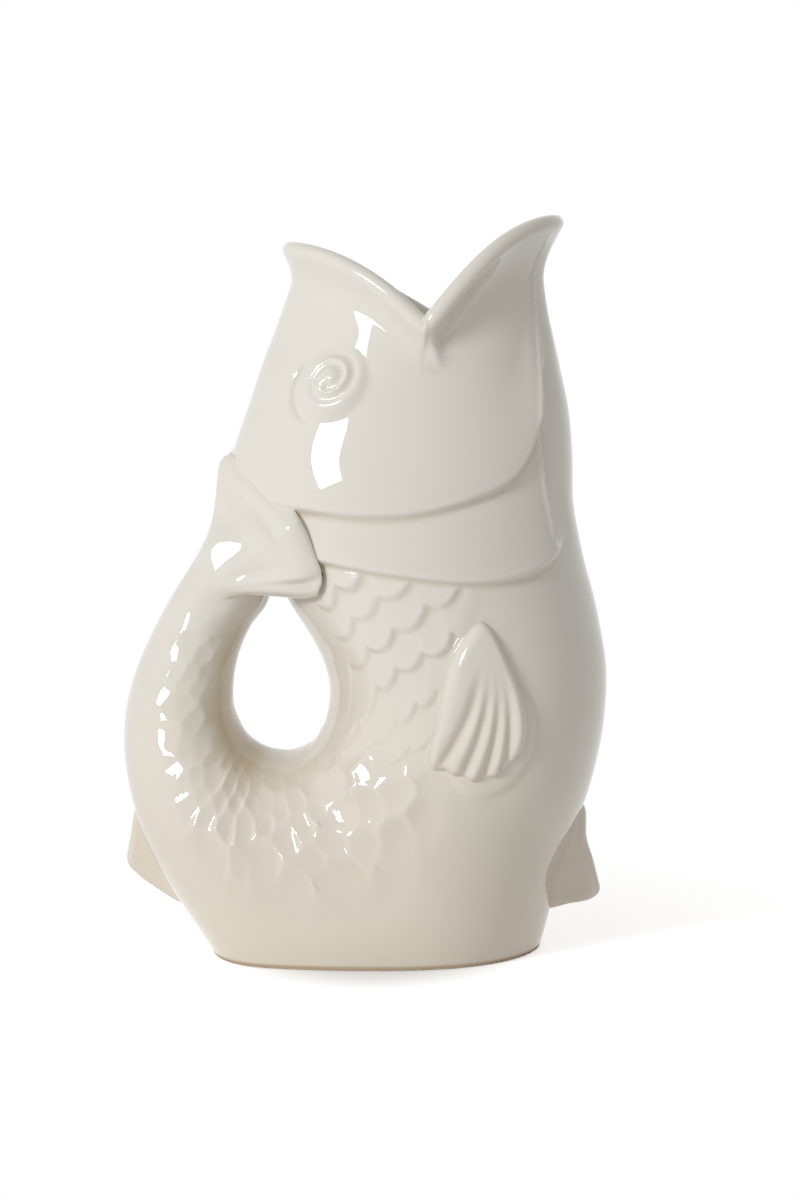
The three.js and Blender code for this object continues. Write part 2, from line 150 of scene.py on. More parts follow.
class Curve:
    """Natural cubic spline through keys, each with one or more values."""

    def __init__(self, keys: Array, values: Array) -> None:
        """Fit the spline.

        Args:
            keys: Rising places of the keys.
            values: One value or row of values for each key.
        """
        self.keys = np.asarray(keys, float)
        self.values = np.asarray(values, float).reshape(len(keys), -1)
        gaps = np.diff(self.keys)
        slopes = np.diff(self.values, axis=0) / gaps[:, None]
        count = len(keys)
        system = np.eye(count)
        right = np.zeros_like(self.values)
        for index in range(1, count - 1):
            system[index, index - 1] = gaps[index - 1]
            system[index, index] = 2.0 * (gaps[index - 1] + gaps[index])
            system[index, index + 1] = gaps[index]
            right[index] = 6.0 * (slopes[index] - slopes[index - 1])
        self.bends = np.linalg.solve(system, right)

    def __call__(self, place: Array) -> Array:
        """Return the values at places, with a last axis of the row's length.

        Args:
            place: Places along the keys.

        Returns:
            The spline's values there.
        """
        place = np.asarray(place, float)
        index = np.clip(np.searchsorted(self.keys, place) - 1, 0, len(self.keys) - 2)
        gap = (self.keys[index + 1] - self.keys[index])[..., None]
        late = (place - self.keys[index])[..., None] / gap
        early = 1.0 - late
        bend = (early**3 - early) * self.bends[index] + (late**3 - late) * self.bends[index + 1]
        return early * self.values[index] + late * self.values[index + 1] + bend * gap**2 / 6.0

    def single(self, place: Array) -> Array:
        """Return the first value at places."""
        return self(place)[..., 0]

    @classmethod
    def through(cls, pairs: tuple) -> "Curve":
        """Return the curve through rows that begin with their key."""
        rows = np.array(pairs, float)
        return cls(rows[:, 0], rows[:, 1:])


def closed_outline(outline: tuple, count: int, stretch: tuple = (1.0, 1.0)) -> Array:
    """Return even steps along a smooth closed outline.

    Args:
        outline: Points of the outline in order.
        count: Number of steps.
        stretch: Length of a unit along each axis.

    Returns:
        Points, with the first one again at the end.
    """
    overlap = 3
    keys = np.array(outline[-overlap:] + outline + outline[:overlap], float)
    lengths = np.linalg.norm(np.diff(keys, axis=0) * stretch, axis=1)
    steps = np.concatenate([[0.0], np.cumsum(lengths)])
    return Curve(steps, keys)(np.linspace(steps[overlap], steps[overlap + len(outline)], count + 1))


@dataclass
class FishSkin:
    """Plain skin of the fish as sections along it.

    Each station has its place along the fish, its back or hole-side point, its front or
    outer point, its width and how square its rear and its front half are. An angle of 0 is
    the back, 180 degrees is the front, and the near flank lies between them.
    """

    stations: tuple = (
        (-25, -14, 275, 56, 275, 64, 2, 2), (0, -19, 250, 58.6, 250, 70, 2, 2),
        (22, -24.5, 228, 60.2, 228, 75, 1.96, 2), (40, -31, 210, 63.6, 210, 81, 1.92, 2.05),
        (60, -38, 190, 68, 190, 88, 2.14, 2.05), (80, -43.7, 170, 70.4, 170, 93, 2.1, 2.05),
        (96, -44.5, 154, 70.8, 154, 95, 2.1, 2.05), (112, -38.5, 139, 73.6, 138, 97, 2.1, 2.02),
        (127, -30, 126, 77.2, 124, 99, 2.1, 2), (142, -21.5, 112.5, 80.7, 108, 100, 2.1, 2.05),
        (158, -14.5, 100, 82.6, 91, 100, 2.1, 2.06), (174, -11.8, 87, 81, 73, 99, 2.1, 2.04),
        (190, -13.8, 77.5, 75.6, 51.5, 98, 2.15, 1.95), (206, -17.5, 71, 66.4, 25, 96.5, 2.3, 1.86),
        (220, -22, 67.5, 54, -12, 94, 2.45, 1.95), (238, -28.5, 66, 10, -28, 92, 2.5, 2.4),
        (256, -34.5, 67.3, -36, -18, 89, 2.3, 2.5), (270, -39, 70, -57.5, 8, 85, 2.1, 2.45),
        (286, -43, 75, -73.8, 35, 78, 2.05, 2.45), (302, -45.6, 83, -82.1, 64, 66, 2.03, 2.3),
        (318, -44.9, 94, -80.6, 88, 57, 2, 2.15), (334, -41.5, 105.5, -71.6, 111, 51, 2, 2.25),
        (350, -35, 117, -60, 131, 46, 2, 3.3), (366, -27, 130, -49, 149, 42, 2, 4.2),
    )
    head_end: float = 127.0
    belly_end: float = 176.0
    joint: float = 281.0
    tail_end: float = 336.0
    angle_step: float = 0.002
    at_step: float = 0.1

    def __post_init__(self) -> None:
        """Fit the spline through the stations."""
        self.track = Curve.through(self.stations)

    def middle(self, at: float) -> Array:
        """Return the middle of a section."""
        back_x, back_z, front_x, front_z = self.track(at)[:4]
        return np.array([(back_x + front_x) / 2.0, 0.0, (back_z + front_z) / 2.0])

    def point(self, angle: Array, at: Array, outward: Array = 0.0) -> Array:
        """Return points of the skin, moved outward within their sections.

        Args:
            angle: Angles around the section, in radians.
            at: Places along the fish.
            outward: Distance out of the plain skin.

        Returns:
            Points with a last axis of x, y and z.
        """
        back_x, back_z, front_x, front_z, width, rear, fore = np.moveaxis(self.track(at), -1, 0)
        half = width / 2.0
        reach = np.hypot(front_x - back_x, front_z - back_z) / 2.0
        cosine, sine = np.cos(angle), np.sin(angle)
        square = np.where(cosine < 0, fore, rear)
        along = -np.sign(cosine) * np.abs(cosine) ** (2.0 / square)
        across = -np.sign(sine) * np.abs(sine) ** (2.0 / square)
        lean_x = np.sign(along) * np.abs(along) ** (square - 1.0) / reach
        lean_y = np.sign(across) * np.abs(across) ** (square - 1.0) / half
        length = np.hypot(lean_x, lean_y)
        run = along * reach + lean_x / length * outward
        to_x = (front_x - back_x) / (2.0 * reach)
        to_z = (front_z - back_z) / (2.0 * reach)
        return np.stack([
            (back_x + front_x) / 2.0 + to_x * run,
            across * half + lean_y / length * outward,
            (back_z + front_z) / 2.0 + to_z * run,
        ], axis=-1)

    def normal(self, angle: Array, at: Array) -> Array:
        """Return the outward directions of the plain skin.

        Args:
            angle: Angles around the section, in radians.
            at: Places along the fish.

        Returns:
            Unit vectors with a last axis of x, y and z.
        """
        step_round = self.point(angle + self.angle_step, at) - self.point(angle - self.angle_step, at)
        step_along = self.point(angle, at + self.at_step) - self.point(angle, at - self.at_step)
        return unit(np.cross(step_along, step_round))


@dataclass
class Mouth:
    """Rim of the mouth: two flared lips that meet at a corner on each flank."""

    front_height: float = 250.2
    rear_height: float = 241.3
    corner_height: float = 214.3
    corner_turn: float = 0.539
    corner_round: float = 0.019
    corner_lift: float = 0.4
    front_sweep: float = 3.42
    rear_sweep: float = 3.49
    far_rear_sweep: float = 2.07
    wall: float = 5.8
    lip_drop: float = 4.6
    lip_hollow: float = 0.45
    front_flare: float = 7.8
    rear_flare: float = 5.4
    corner_flare: tuple = (2.8, 0.07, 0.10)
    front_depth: float = 19.0
    front_grow: tuple = (0.02, 0.36)
    corner_depth: float = 12.0
    rear_depth: float = 11.0
    cheek_radius: float = 40.0
    fold_lean: float = 0.0020
    fold_rise: float = 5.4
    fold_start: float = 2.0
    fold_length: float = 17.5
    fold_fade: float = 1.3
    fold_taper: float = 0.45
    fold_reach: float = 6.5
    fold_front_reach: float = 1.9
    fold_step: float = 3.2
    fold_blend: int = 4

    def rim(self, angle: Array) -> Array:
        """Return the place along the fish of the rim's crest.

        Args:
            angle: Angles around the mouth, in radians.

        Returns:
            Places along the fish, as depth under the top.
        """
        past = turn_of(angle) - self.corner_turn
        blunt = np.hypot(past, self.corner_round) - self.corner_round * self.corner_lift
        rear = 1.0 - np.clip(blunt / self.corner_turn, 0, 1)
        front = np.clip(1.0 - blunt / (1.0 - self.corner_turn), 0, 1)
        sweep = np.where(np.asarray(angle) > math.pi, self.far_rear_sweep, self.rear_sweep)
        rear_drop = (self.rear_height - self.corner_height) * rear**sweep
        front_drop = (self.front_height - self.corner_height) * front**self.front_sweep
        return TOP - np.where(past < 0, self.rear_height - rear_drop, self.front_height - front_drop)

    def flare(self, angle: Array, at: Array) -> Array:
        """Return how far the lips stand out of the plain skin.

        The front lip's edge runs on past the mouth's corner as a fold down the cheek, with a
        gentle slope on its rear side and a steep one on its front side.

        Args:
            angle: Angles around the mouth, in radians.
            at: Places along the fish.

        Returns:
            Distances outward.
        """
        turn = turn_of(angle)
        past = turn - self.corner_turn
        rise = self.rear_flare + (self.front_flare - self.rear_flare) * smooth_step(turn)
        rise = rise + bump(past, *self.corner_flare)
        below = at - self.rim(angle) - self.lip_drop
        under_corner = at - (TOP - self.corner_height)
        aside = (past - self.fold_lean * under_corner) * math.pi * self.cheek_radius
        grow = ramp(past, *self.front_grow)
        front_depth = self.corner_depth + (self.front_depth - self.corner_depth) * grow
        rear = rise * self.roll(below / self.rear_depth)
        front = rise * self.roll(below / front_depth)
        end = np.clip((under_corner + self.fold_start) / self.fold_length, 0, 1)
        slope = bell(aside / (self.fold_reach * (1.0 - self.fold_taper * end)))
        steep = 1.0 / (1.0 + np.square(aside / self.fold_front_reach))
        ridge = self.fold_rise * (1.0 - end**2) ** self.fold_fade * np.where(aside < 0, slope, steep)
        over = smooth_step(aside / self.fold_step + 0.5)
        lips = rear * (1.0 - over) + front * over
        return (lips**self.fold_blend + ridge**self.fold_blend) ** (1.0 / self.fold_blend)

    def roll(self, share: Array) -> Array:
        """Return the hollow profile of a lip, from 1 at its edge to 0 where it ends."""
        left = 1.0 - np.clip(share, 0, 1)
        return left * left * (1.0 + self.lip_hollow - self.lip_hollow * left)


@dataclass
class Relief:
    """Modelled relief of the skin: gill cover, collar, throat line, scales and beds."""

    mouth: Mouth
    gill_keys: tuple = ((0, 151.5), (0.23, 154.5), (0.38, 152.4), (0.5, 152), (0.6, 155.2), (0.65, 157.9),
                        (0.7, 161.2), (0.74, 166.4), (0.77, 174), (0.8, 184), (0.9, 205), (1, 210))
    gill_step: float = 2.8
    gill_fade: float = 34.0
    collar_keys: tuple = ((0, 139), (0.2, 138), (0.52, 130), (0.6, 129), (0.79, 135.5),
                          (0.9, 145), (1, 151))
    collar_step: float = 2.8
    step_run: float = 3.6
    hood_end_span: tuple = (0.78, 0.12)
    throat_keys: tuple = ((20, 157), (28, 155), (41, 151), (74, 142.5), (94, 146), (112, 146.5))
    throat_rise: float = 0.8
    throat_drop: float = 2.1
    throat_reach: float = 17.0
    throat_shoulder: float = 3.0
    throat_half_width: float = 1.1
    throat_top_span: tuple = (5.0, 10.0)
    throat_end_span: tuple = (102.0, 12.0)
    throat_per_degree: float = 0.8
    eye_moat: float = 0.9
    eye_moat_radius: float = 13.2
    eye_moat_half_width: float = 1.35
    eye_moat_turn: float = 0.35
    eye_moat_span: tuple = (0.5, 0.4)
    eye_per_degree: float = 0.72
    bed_place: tuple = (101.0, 172.0)
    bed_half_size: tuple = (19.5, 21.0)
    bed_rise: float = 1.1
    bed_edge_span: tuple = (0.84, 0.22)
    scale_bound_keys: tuple = (
        (112, 116), (121.6, 110), (135, 100), (151, 84), (170, 77), (189, 80), (198, 90),
        (208, 90), (218, 86), (232, 84), (258, 88), (273, 97), (285, 104), (297, 109), (309, 113),
        (324, 117), (335, 118), (350, 116),
    )
    bound_blur: tuple = (9.0, 13.0)
    bound_blur_span: tuple = (165.0, 25.0)
    bound_inside: float = 0.55
    hole_weight: float = 0.08
    hole_span: tuple = (26.0, 34.0)
    collar_span: tuple = (0.5, 2.5)
    plain_patch: float = 0.8
    plain_place: tuple = (62.0, 177.0)
    plain_half_size: tuple = (16.0, 13.0)
    scale_end_span: tuple = (336.0, 14.0)
    scale_rows: tuple = ((104, 66, 15.3), (115.2, 66.1, 15.3), (126.3, 66, 15.3), (137.5, 66, 15.2),
                         (149.1, 61.2, 13), (163.5, 67.9, 9), (178.5, 66.1, 9), (193.5, 70, 9))
    flank_middle: float = 75.0
    row_lean: float = 0.56
    low_row_lean: float = 0.45
    low_row_span: tuple = (150.0, 40.0)
    scale_rise: float = 1.5
    scale_sag: tuple = (2.8, 1.6)
    scale_middle: float = 0.75
    scale_edge: float = 2.7
    scale_reach: float = 13.0
    scale_slope: float = 1.3
    scale_crown: float = 0.35
    scale_scatter: tuple = (0.75, 0.5)
    scale_fade_span: tuple = (176.0, 22.0)
    facet_start: tuple = (2.0, 121.5)
    facet_pitch: tuple = (16.0, 9.56)
    facet_crowding: tuple = (195.0, 0.0016)
    facet_lean: float = 0.09
    facet_breadth: tuple = (0.86, 0.39)
    facet_breadth_span: tuple = (200.0, 100.0)
    facet_flat: tuple = (0.018, 0.013)
    facet_hollow: tuple = (0.5, 5.2, -0.2)
    facet_hollow_span: tuple = (268.0, 30.0)
    facet_tilt: float = 0.20
    facet_crease: float = 7.0
    facet_scatter: float = 0.4
    facet_step: float = 0.3
    facet_sink: float = 0.1
    facet_span: tuple = (172.0, 30.0)
    draw_shifts: tuple = (0.0, 0.3, 0.7)
    draw_mix: tuple = (12.9898, 78.233, 43758.5453)
    wobble_rise: tuple = (0.10, 0.06)
    wobble_along: tuple = (0.13, 0.021, 0.29)
    wobble_round: tuple = (5.0, 14.0, 11.0)

    def __post_init__(self) -> None:
        """Fit the curves of the relief's edges."""
        self.gill = Curve.through(self.gill_keys)
        self.collar = Curve.through(self.collar_keys)
        self.throat = Curve.through(self.throat_keys)

    def hood(self, angle: Array, at: Array) -> Array:
        """Return how far the gill cover and the collar stand out of the skin.

        Args:
            angle: Angles around the fish, in radians.
            at: Places along the fish.

        Returns:
            Distances outward.
        """
        turn = turn_of(angle)
        gill = TOP - self.gill.single(turn)
        collar = TOP - self.collar.single(turn)
        cover = smooth_step(1.0 - (gill - at) / self.gill_fade)
        cover = cover * (1.0 - smooth_step((at - gill) / self.step_run + 0.5))
        strip = np.clip((at - gill) / (collar - gill), 0, 1)
        strip = strip * (1.0 - smooth_step((at - collar) / self.step_run + 0.5))
        beside_throat = 1.0 - ramp(turn, *self.hood_end_span)
        return beside_throat * (self.gill_step * cover + self.collar_step * strip)

    def throat_line(self, angle: Array, at: Array) -> Array:
        """Return the thin line beside the throat and the hollow in front of it.

        Args:
            angle: Angles around the fish, in radians.
            at: Places along the fish.

        Returns:
            Distances outward.
        """
        aside = (degrees_of(angle) - self.throat.single(at)) * self.throat_per_degree
        ends = ramp(at - self.mouth.rim(angle), *self.throat_top_span)
        ends = ends * (1.0 - ramp(at, *self.throat_end_span))
        hollow = band(aside, (0.0, self.throat_shoulder), (0.0, self.throat_reach))
        return ends * (self.throat_rise * bell(aside / self.throat_half_width) - self.throat_drop * hollow)

    def moat(self, angle: Array, at: Array) -> Array:
        """Return the short groove in the skin behind the eye.

        Args:
            angle: Angles around the fish, in radians.
            at: Places along the fish.

        Returns:
            Distances outward.
        """
        aside = (degrees_of(angle) - EYE_PLACE[0]) * self.eye_per_degree
        down = at - EYE_PLACE[1]
        away = np.hypot(aside, down) - self.eye_moat_radius
        behind = ramp(np.cos(np.arctan2(down, -aside) - self.eye_moat_turn), *self.eye_moat_span)
        return -self.eye_moat * behind * bell(away / self.eye_moat_half_width)

    def fin_bed(self, angle: Array, at: Array) -> Array:
        """Return the low swelling of the skin that the side fin lies on."""
        away = oval(degrees_of(angle), at, self.bed_place, self.bed_half_size)
        return self.bed_rise * (1.0 - ramp(away, *self.bed_edge_span))

    def scale_weight(self, angle: Array, at: Array) -> Array:
        """Return how strongly the scales are modelled, from 0 to 1.

        Args:
            angle: Angles around the fish, in radians.
            at: Places along the fish.

        Returns:
            Shares of the full relief.
        """
        degrees = degrees_of(angle)
        keys = np.array(self.scale_bound_keys)
        bound = np.interp(at, keys[:, 0], keys[:, 1])
        blur = self.bound_blur[0] + self.bound_blur[1] * ramp(at, *self.bound_blur_span)
        weight = 1.0 - ramp(degrees, bound - self.bound_inside * blur, blur)
        weight = weight * (self.hole_weight + (1.0 - self.hole_weight) * ramp(degrees, *self.hole_span))
        weight = weight * ramp(at - TOP + self.collar.single(turn_of(angle)), *self.collar_span)
        plain = bell(oval(degrees, at, self.plain_place, self.plain_half_size))
        return weight * (1.0 - self.plain_patch * plain) * (1.0 - ramp(at, *self.scale_end_span))

    def scales(self, angle: Array, at: Array) -> Array:
        """Return the height of the overlapping scales, whose free edges face the tail.

        Each row has its place along the fish, the middle of one scale and the scales' pitch.

        Args:
            angle: Angles around the fish, in radians.
            at: Places along the fish.

        Returns:
            Distances outward.
        """
        degrees = degrees_of(angle)
        lean = self.row_lean + self.low_row_lean * ramp(at, *self.low_row_span)
        along = at + lean * (degrees - self.flank_middle)
        height = np.zeros_like(along)
        taken = np.zeros_like(along)
        for number, (line, middle, pitch) in enumerate(self.scale_rows):
            column = (degrees - middle) / pitch
            chance = self.chance(number, np.round(column))
            aside = 2.0 * (column - np.round(column))
            sag = self.scale_sag[0] + self.scale_sag[1] * chance
            edge = line + sag * (self.scale_middle - aside**2)
            inside = smooth_step((edge - along) / self.scale_edge + 0.5)
            back = np.clip(1.0 - (edge - along) / self.scale_reach, 0, 1)
            crown = back**self.scale_slope * (1.0 - self.scale_crown * aside**2)
            crown = crown * (self.scale_scatter[0] + self.scale_scatter[1] * chance)
            height = height + (1.0 - taken) * inside * crown
            taken = taken + (1.0 - taken) * inside
        return self.scale_rise * height * (1.0 - ramp(at, *self.scale_fade_span))

    def facets(self, angle: Array, at: Array) -> Array:
        """Return the facets that the scales turn into on the lower body and the tail.

        Each facet is a shallow dish. On the lower body its side towards the head is steep, so
        that the ridge between two facets steps down towards the tail.

        Args:
            angle: Angles around the fish, in radians.
            at: Places along the fish.

        Returns:
            Distances outward.
        """
        degrees = degrees_of(angle)
        crowded = self.facet_crowding[1] * np.maximum(at - self.facet_crowding[0], 0.0) ** 2
        along = at + crowded - self.facet_lean * (degrees - self.flank_middle)
        place = (along - self.facet_start[1]) / self.facet_pitch[1]
        narrower = self.facet_breadth[1] * ramp(at, *self.facet_breadth_span)
        breadth = self.facet_pitch[0] * (self.facet_breadth[0] - narrower)
        low = 1.0 - ramp(at, *self.facet_hollow_span)
        side = self.facet_flat[0] * (1.0 + self.facet_hollow[0] * low)
        steep, gentle = (self.facet_flat[1] * (1.0 + more * low) for more in self.facet_hollow[1:])
        total = np.zeros_like(place)
        for row_step in (-1.0, 0.0, 1.0):
            row = np.round(place) + row_step
            column = (degrees - self.facet_start[0]) / self.facet_pitch[0] - 0.5 * np.mod(row + 1.0, 2.0)
            for column_step in (-1.0, 0.0, 1.0):
                cell = np.round(column) + column_step
                first, second, third = (self.chance(row, cell + shift) - 0.5 for shift in self.draw_shifts)
                aside = (column - cell - self.facet_scatter * first) * breadth
                down = (place - row - self.facet_scatter * second) * self.facet_pitch[1]
                dish = side * aside**2 + np.where(down < 0.0, steep, gentle) * down**2
                dish = dish + self.facet_tilt * (second * aside + third * down) + self.facet_step * third
                total = total + np.exp(-self.facet_crease * dish)
        return (-np.log(total) / self.facet_crease - self.facet_sink) * ramp(at, *self.facet_span)

    def chance(self, row: Array, column: Array) -> Array:
        """Return a fixed scatter from 0 to 1 for each scale."""
        mixed = np.sin(row * self.draw_mix[0] + column * self.draw_mix[1]) * self.draw_mix[2]
        return mixed - np.floor(mixed)

    def wobble(self, angle: Array, at: Array) -> Array:
        """Return the slight unevenness of a hand-finished surface.

        Args:
            angle: Angles around the fish, in radians.
            at: Places along the fish.

        Returns:
            Distances outward.
        """
        turn = turn_of(angle)
        first = np.sin(at * self.wobble_along[0] + self.wobble_round[0] * turn)
        second = np.sin(turn * self.wobble_round[1] + at * self.wobble_along[1])
        third = np.sin(at * self.wobble_along[2] - self.wobble_round[2] * turn)
        return self.wobble_rise[0] * first * second + self.wobble_rise[1] * third

    def lift(self, angle: Array, at: Array) -> Array:
        """Return the whole distance of the outer surface out of the plain skin.

        Args:
            angle: Angles around the fish, in radians.
            at: Places along the fish.

        Returns:
            Distances outward.
        """
        forms = (self.mouth.flare, self.hood, self.throat_line, self.moat, self.fin_bed, self.wobble)
        scales = self.scales(angle, at) + self.facets(angle, at)
        return sum(form(angle, at) for form in forms) + self.scale_weight(angle, at) * scales


class MeshKit:
    """Shaping of bmesh grids into closed pieces."""

    pool_strength = 0.9
    pool_range = (0.3, 0.7)

    @staticmethod
    def shaped_grid(points: Array) -> bmesh.types.BMesh:
        """Make a grid and move each of its corners to its place.

        Args:
            points: Places in millimetres, by row and column. The last column takes the first one's.

        Returns:
            The shaped bmesh, in metres, with its row and column kept in a layer.
        """
        rows, columns = points.shape[0] - 1, points.shape[1] - 1
        work = bmesh.new()
        bmesh.ops.create_grid(work, x_segments=columns, y_segments=rows, size=1.0)
        layer = work.verts.layers.int.new("place")
        for vert in work.verts:
            column = round((vert.co.x + 1.0) * 0.5 * columns)
            row = round((vert.co.y + 1.0) * 0.5 * rows)
            vert[layer] = row * (columns + 1) + column
            vert.co = Vector(points[row, column % columns]) * MM
        return work

    @staticmethod
    def weld(work: bmesh.types.BMesh, distance: float = MERGE_GAP) -> None:
        """Merge the seam and the poles within a distance and turn all faces outward."""
        bmesh.ops.remove_doubles(work, verts=work.verts, dist=distance)
        bmesh.ops.recalc_face_normals(work, faces=work.faces)

    @staticmethod
    def cap(work: bmesh.types.BMesh) -> None:
        """Close what is open with one face and turn all faces outward."""
        bmesh.ops.holes_fill(work, edges=[edge for edge in work.edges if edge.is_boundary], sides=0)
        bmesh.ops.recalc_face_normals(work, faces=work.faces)

    @staticmethod
    def finish(work: bmesh.types.BMesh, name: str, tint: Array, normals: Array | None = None) -> Piece:
        """Turn a bmesh into a smooth object that carries its glaze pooling and any painted shade.

        Args:
            work: The closed bmesh. It is freed.
            name: Name of the piece.
            tint: Pooling of the glaze, with any painted shade, for each place of the grid.
            normals: Surface directions for each place, zero or None for the mesh's own.

        Returns:
            The new object, linked to the scene.
        """
        mesh = bpy.data.meshes.new(f"{name}_glazed")
        layer = work.verts.layers.int["place"]
        work.verts.index_update()
        places = np.array([vert[layer] for vert in work.verts])
        work.to_mesh(mesh)
        work.free()
        mesh.polygons.foreach_set("use_smooth", np.ones(len(mesh.polygons), bool))
        pool_and_shade = mesh.attributes.new("pool_and_shade", "FLOAT", "POINT")
        pool_and_shade.data.foreach_set("value", tint.reshape(-1)[places].astype(np.float32))
        mesh.attributes.remove(mesh.attributes["place"])
        if normals is not None:
            own = np.zeros(len(mesh.vertices) * 3, np.float32)
            mesh.vertices.foreach_get("normal", own)
            own = own.reshape(-1, 3)
            given = normals.reshape(-1, 3)[places]
            known = np.any(given != 0.0, axis=1)
            own[known] = given[known]
            mesh.normals_split_custom_set_from_vertices(own.tolist())
        piece = bpy.data.objects.new(f"{name}_glazed", mesh)
        bpy.context.scene.collection.objects.link(piece)
        return piece

    @classmethod
    def pooling(cls, height: Array, reach: int = 4) -> Array:
        """Return where glaze gathers: above one half in hollows, below it on crests.

        Args:
            height: Relief by row and column, with columns that close around the piece.
            reach: Number of smoothing passes.

        Returns:
            Values from 0 to 1.
        """
        mean = height.copy()
        for _ in range(reach):
            mean = (mean + np.roll(mean, 1, 1) + np.roll(mean, -1, 1)) / 3.0
            tall = np.pad(mean, ((1, 1), (0, 0)), mode="edge")
            mean = (tall[:-2] + tall[1:-1] + tall[2:]) / 3.0
        return np.clip(PLAIN_POOL + (mean - height) * cls.pool_strength, *cls.pool_range)


class NodeKit:
    """Short ways to add shader nodes, whose inputs are constants to set or sockets to link."""

    seen_rays = ("Is Camera Ray", "Is Glossy Ray", "Is Transmission Ray")
    mix_inputs = ("Factor", 6, 7)
    mix_output = 2

    def __init__(self, tree: Tree) -> None:
        """Keep the tree to add to."""
        self.tree = tree

    def feed(self, node: bpy.types.Node, values: dict) -> None:
        """Set or link inputs of a node.

        Args:
            node: The node.
            values: Constant or socket for each input, by its name or number.
        """
        for name, value in values.items():
            if isinstance(value, Socket):
                self.tree.links.new(value, node.inputs[name])
            else:
                node.inputs[name].default_value = value

    def add(self, kind: str, values: dict, **choices: str) -> bpy.types.Node:
        """Add a node.

        Args:
            kind: Kind of the node.
            values: Constant or socket for each input, by its name or number.
            choices: Settings of the node.

        Returns:
            The new node.
        """
        node = self.tree.nodes.new(f"ShaderNode{kind}")
        for name, choice in choices.items():
            setattr(node, name, choice)
        self.feed(node, values)
        return node

    def place(self) -> Socket:
        """Return the coordinates of the object."""
        return self.add("TexCoord", {}).outputs["Object"]

    def noise(self, place: Socket, scale: float, detail: float) -> Socket:
        """Return a noise pattern from 0 to 1."""
        return self.add("TexNoise", {"Vector": place, "Scale": scale, "Detail": detail}).outputs["Fac"]

    def reckon(self, operation: str, *values: Socket | float) -> Socket:
        """Return the result of an operation on values."""
        return self.add("Math", dict(enumerate(values)), operation=operation).outputs[0]

    def span(self, value: Socket, start: tuple, end: tuple = (0.0, 1.0), way: str = "SMOOTHSTEP") -> Socket:
        """Map a value from one range to another.

        Args:
            value: The value.
            start: Range to map from.
            end: Range to map to.
            way: Kind of the ramp between them.

        Returns:
            The mapped value.
        """
        names = ("Value", "From Min", "From Max", "To Min", "To Max")
        values = dict(zip(names, (value, *start, *end)))
        return self.add("MapRange", values, interpolation_type=way).outputs[0]

    def length(self, place: Socket) -> Socket:
        """Return the distance of a place from the origin."""
        return self.add("VectorMath", {0: place}, operation="LENGTH").outputs["Value"]

    def oval(self, place: Socket, centre: tuple, half: tuple) -> Socket:
        """Return the distance from an oval's centre, as a share of the oval's half sizes.

        Args:
            place: Coordinates to read.
            centre: Centre of the oval.
            half: Half sizes of the oval.

        Returns:
            The distance, which is 1 at the oval's edge.
        """
        scale = [1.0 / size for size in half]
        shift = [-middle / size for middle, size in zip(centre, half)]
        near = self.add("VectorMath", {0: place, 1: scale, 2: shift}, operation="MULTIPLY_ADD")
        return self.length(near.outputs[0])

    def mix(self, factor: Socket, first: Colour, second: Colour, way: str = "MIX") -> Socket:
        """Return a mix of two colours."""
        values = dict(zip(self.mix_inputs, (factor, first, second)))
        return self.add("Mix", values, data_type="RGBA", blend_type=way).outputs[self.mix_output]

    def seen(self) -> Socket:
        """Tell rays that show something to the eye from those that only light it.

        Returns:
            1 for a ray that shows something, else 0.
        """
        path = self.add("LightPath", {})
        first, second, third = (path.outputs[name] for name in self.seen_rays)
        return self.reckon("MAXIMUM", self.reckon("MAXIMUM", first, second), third)


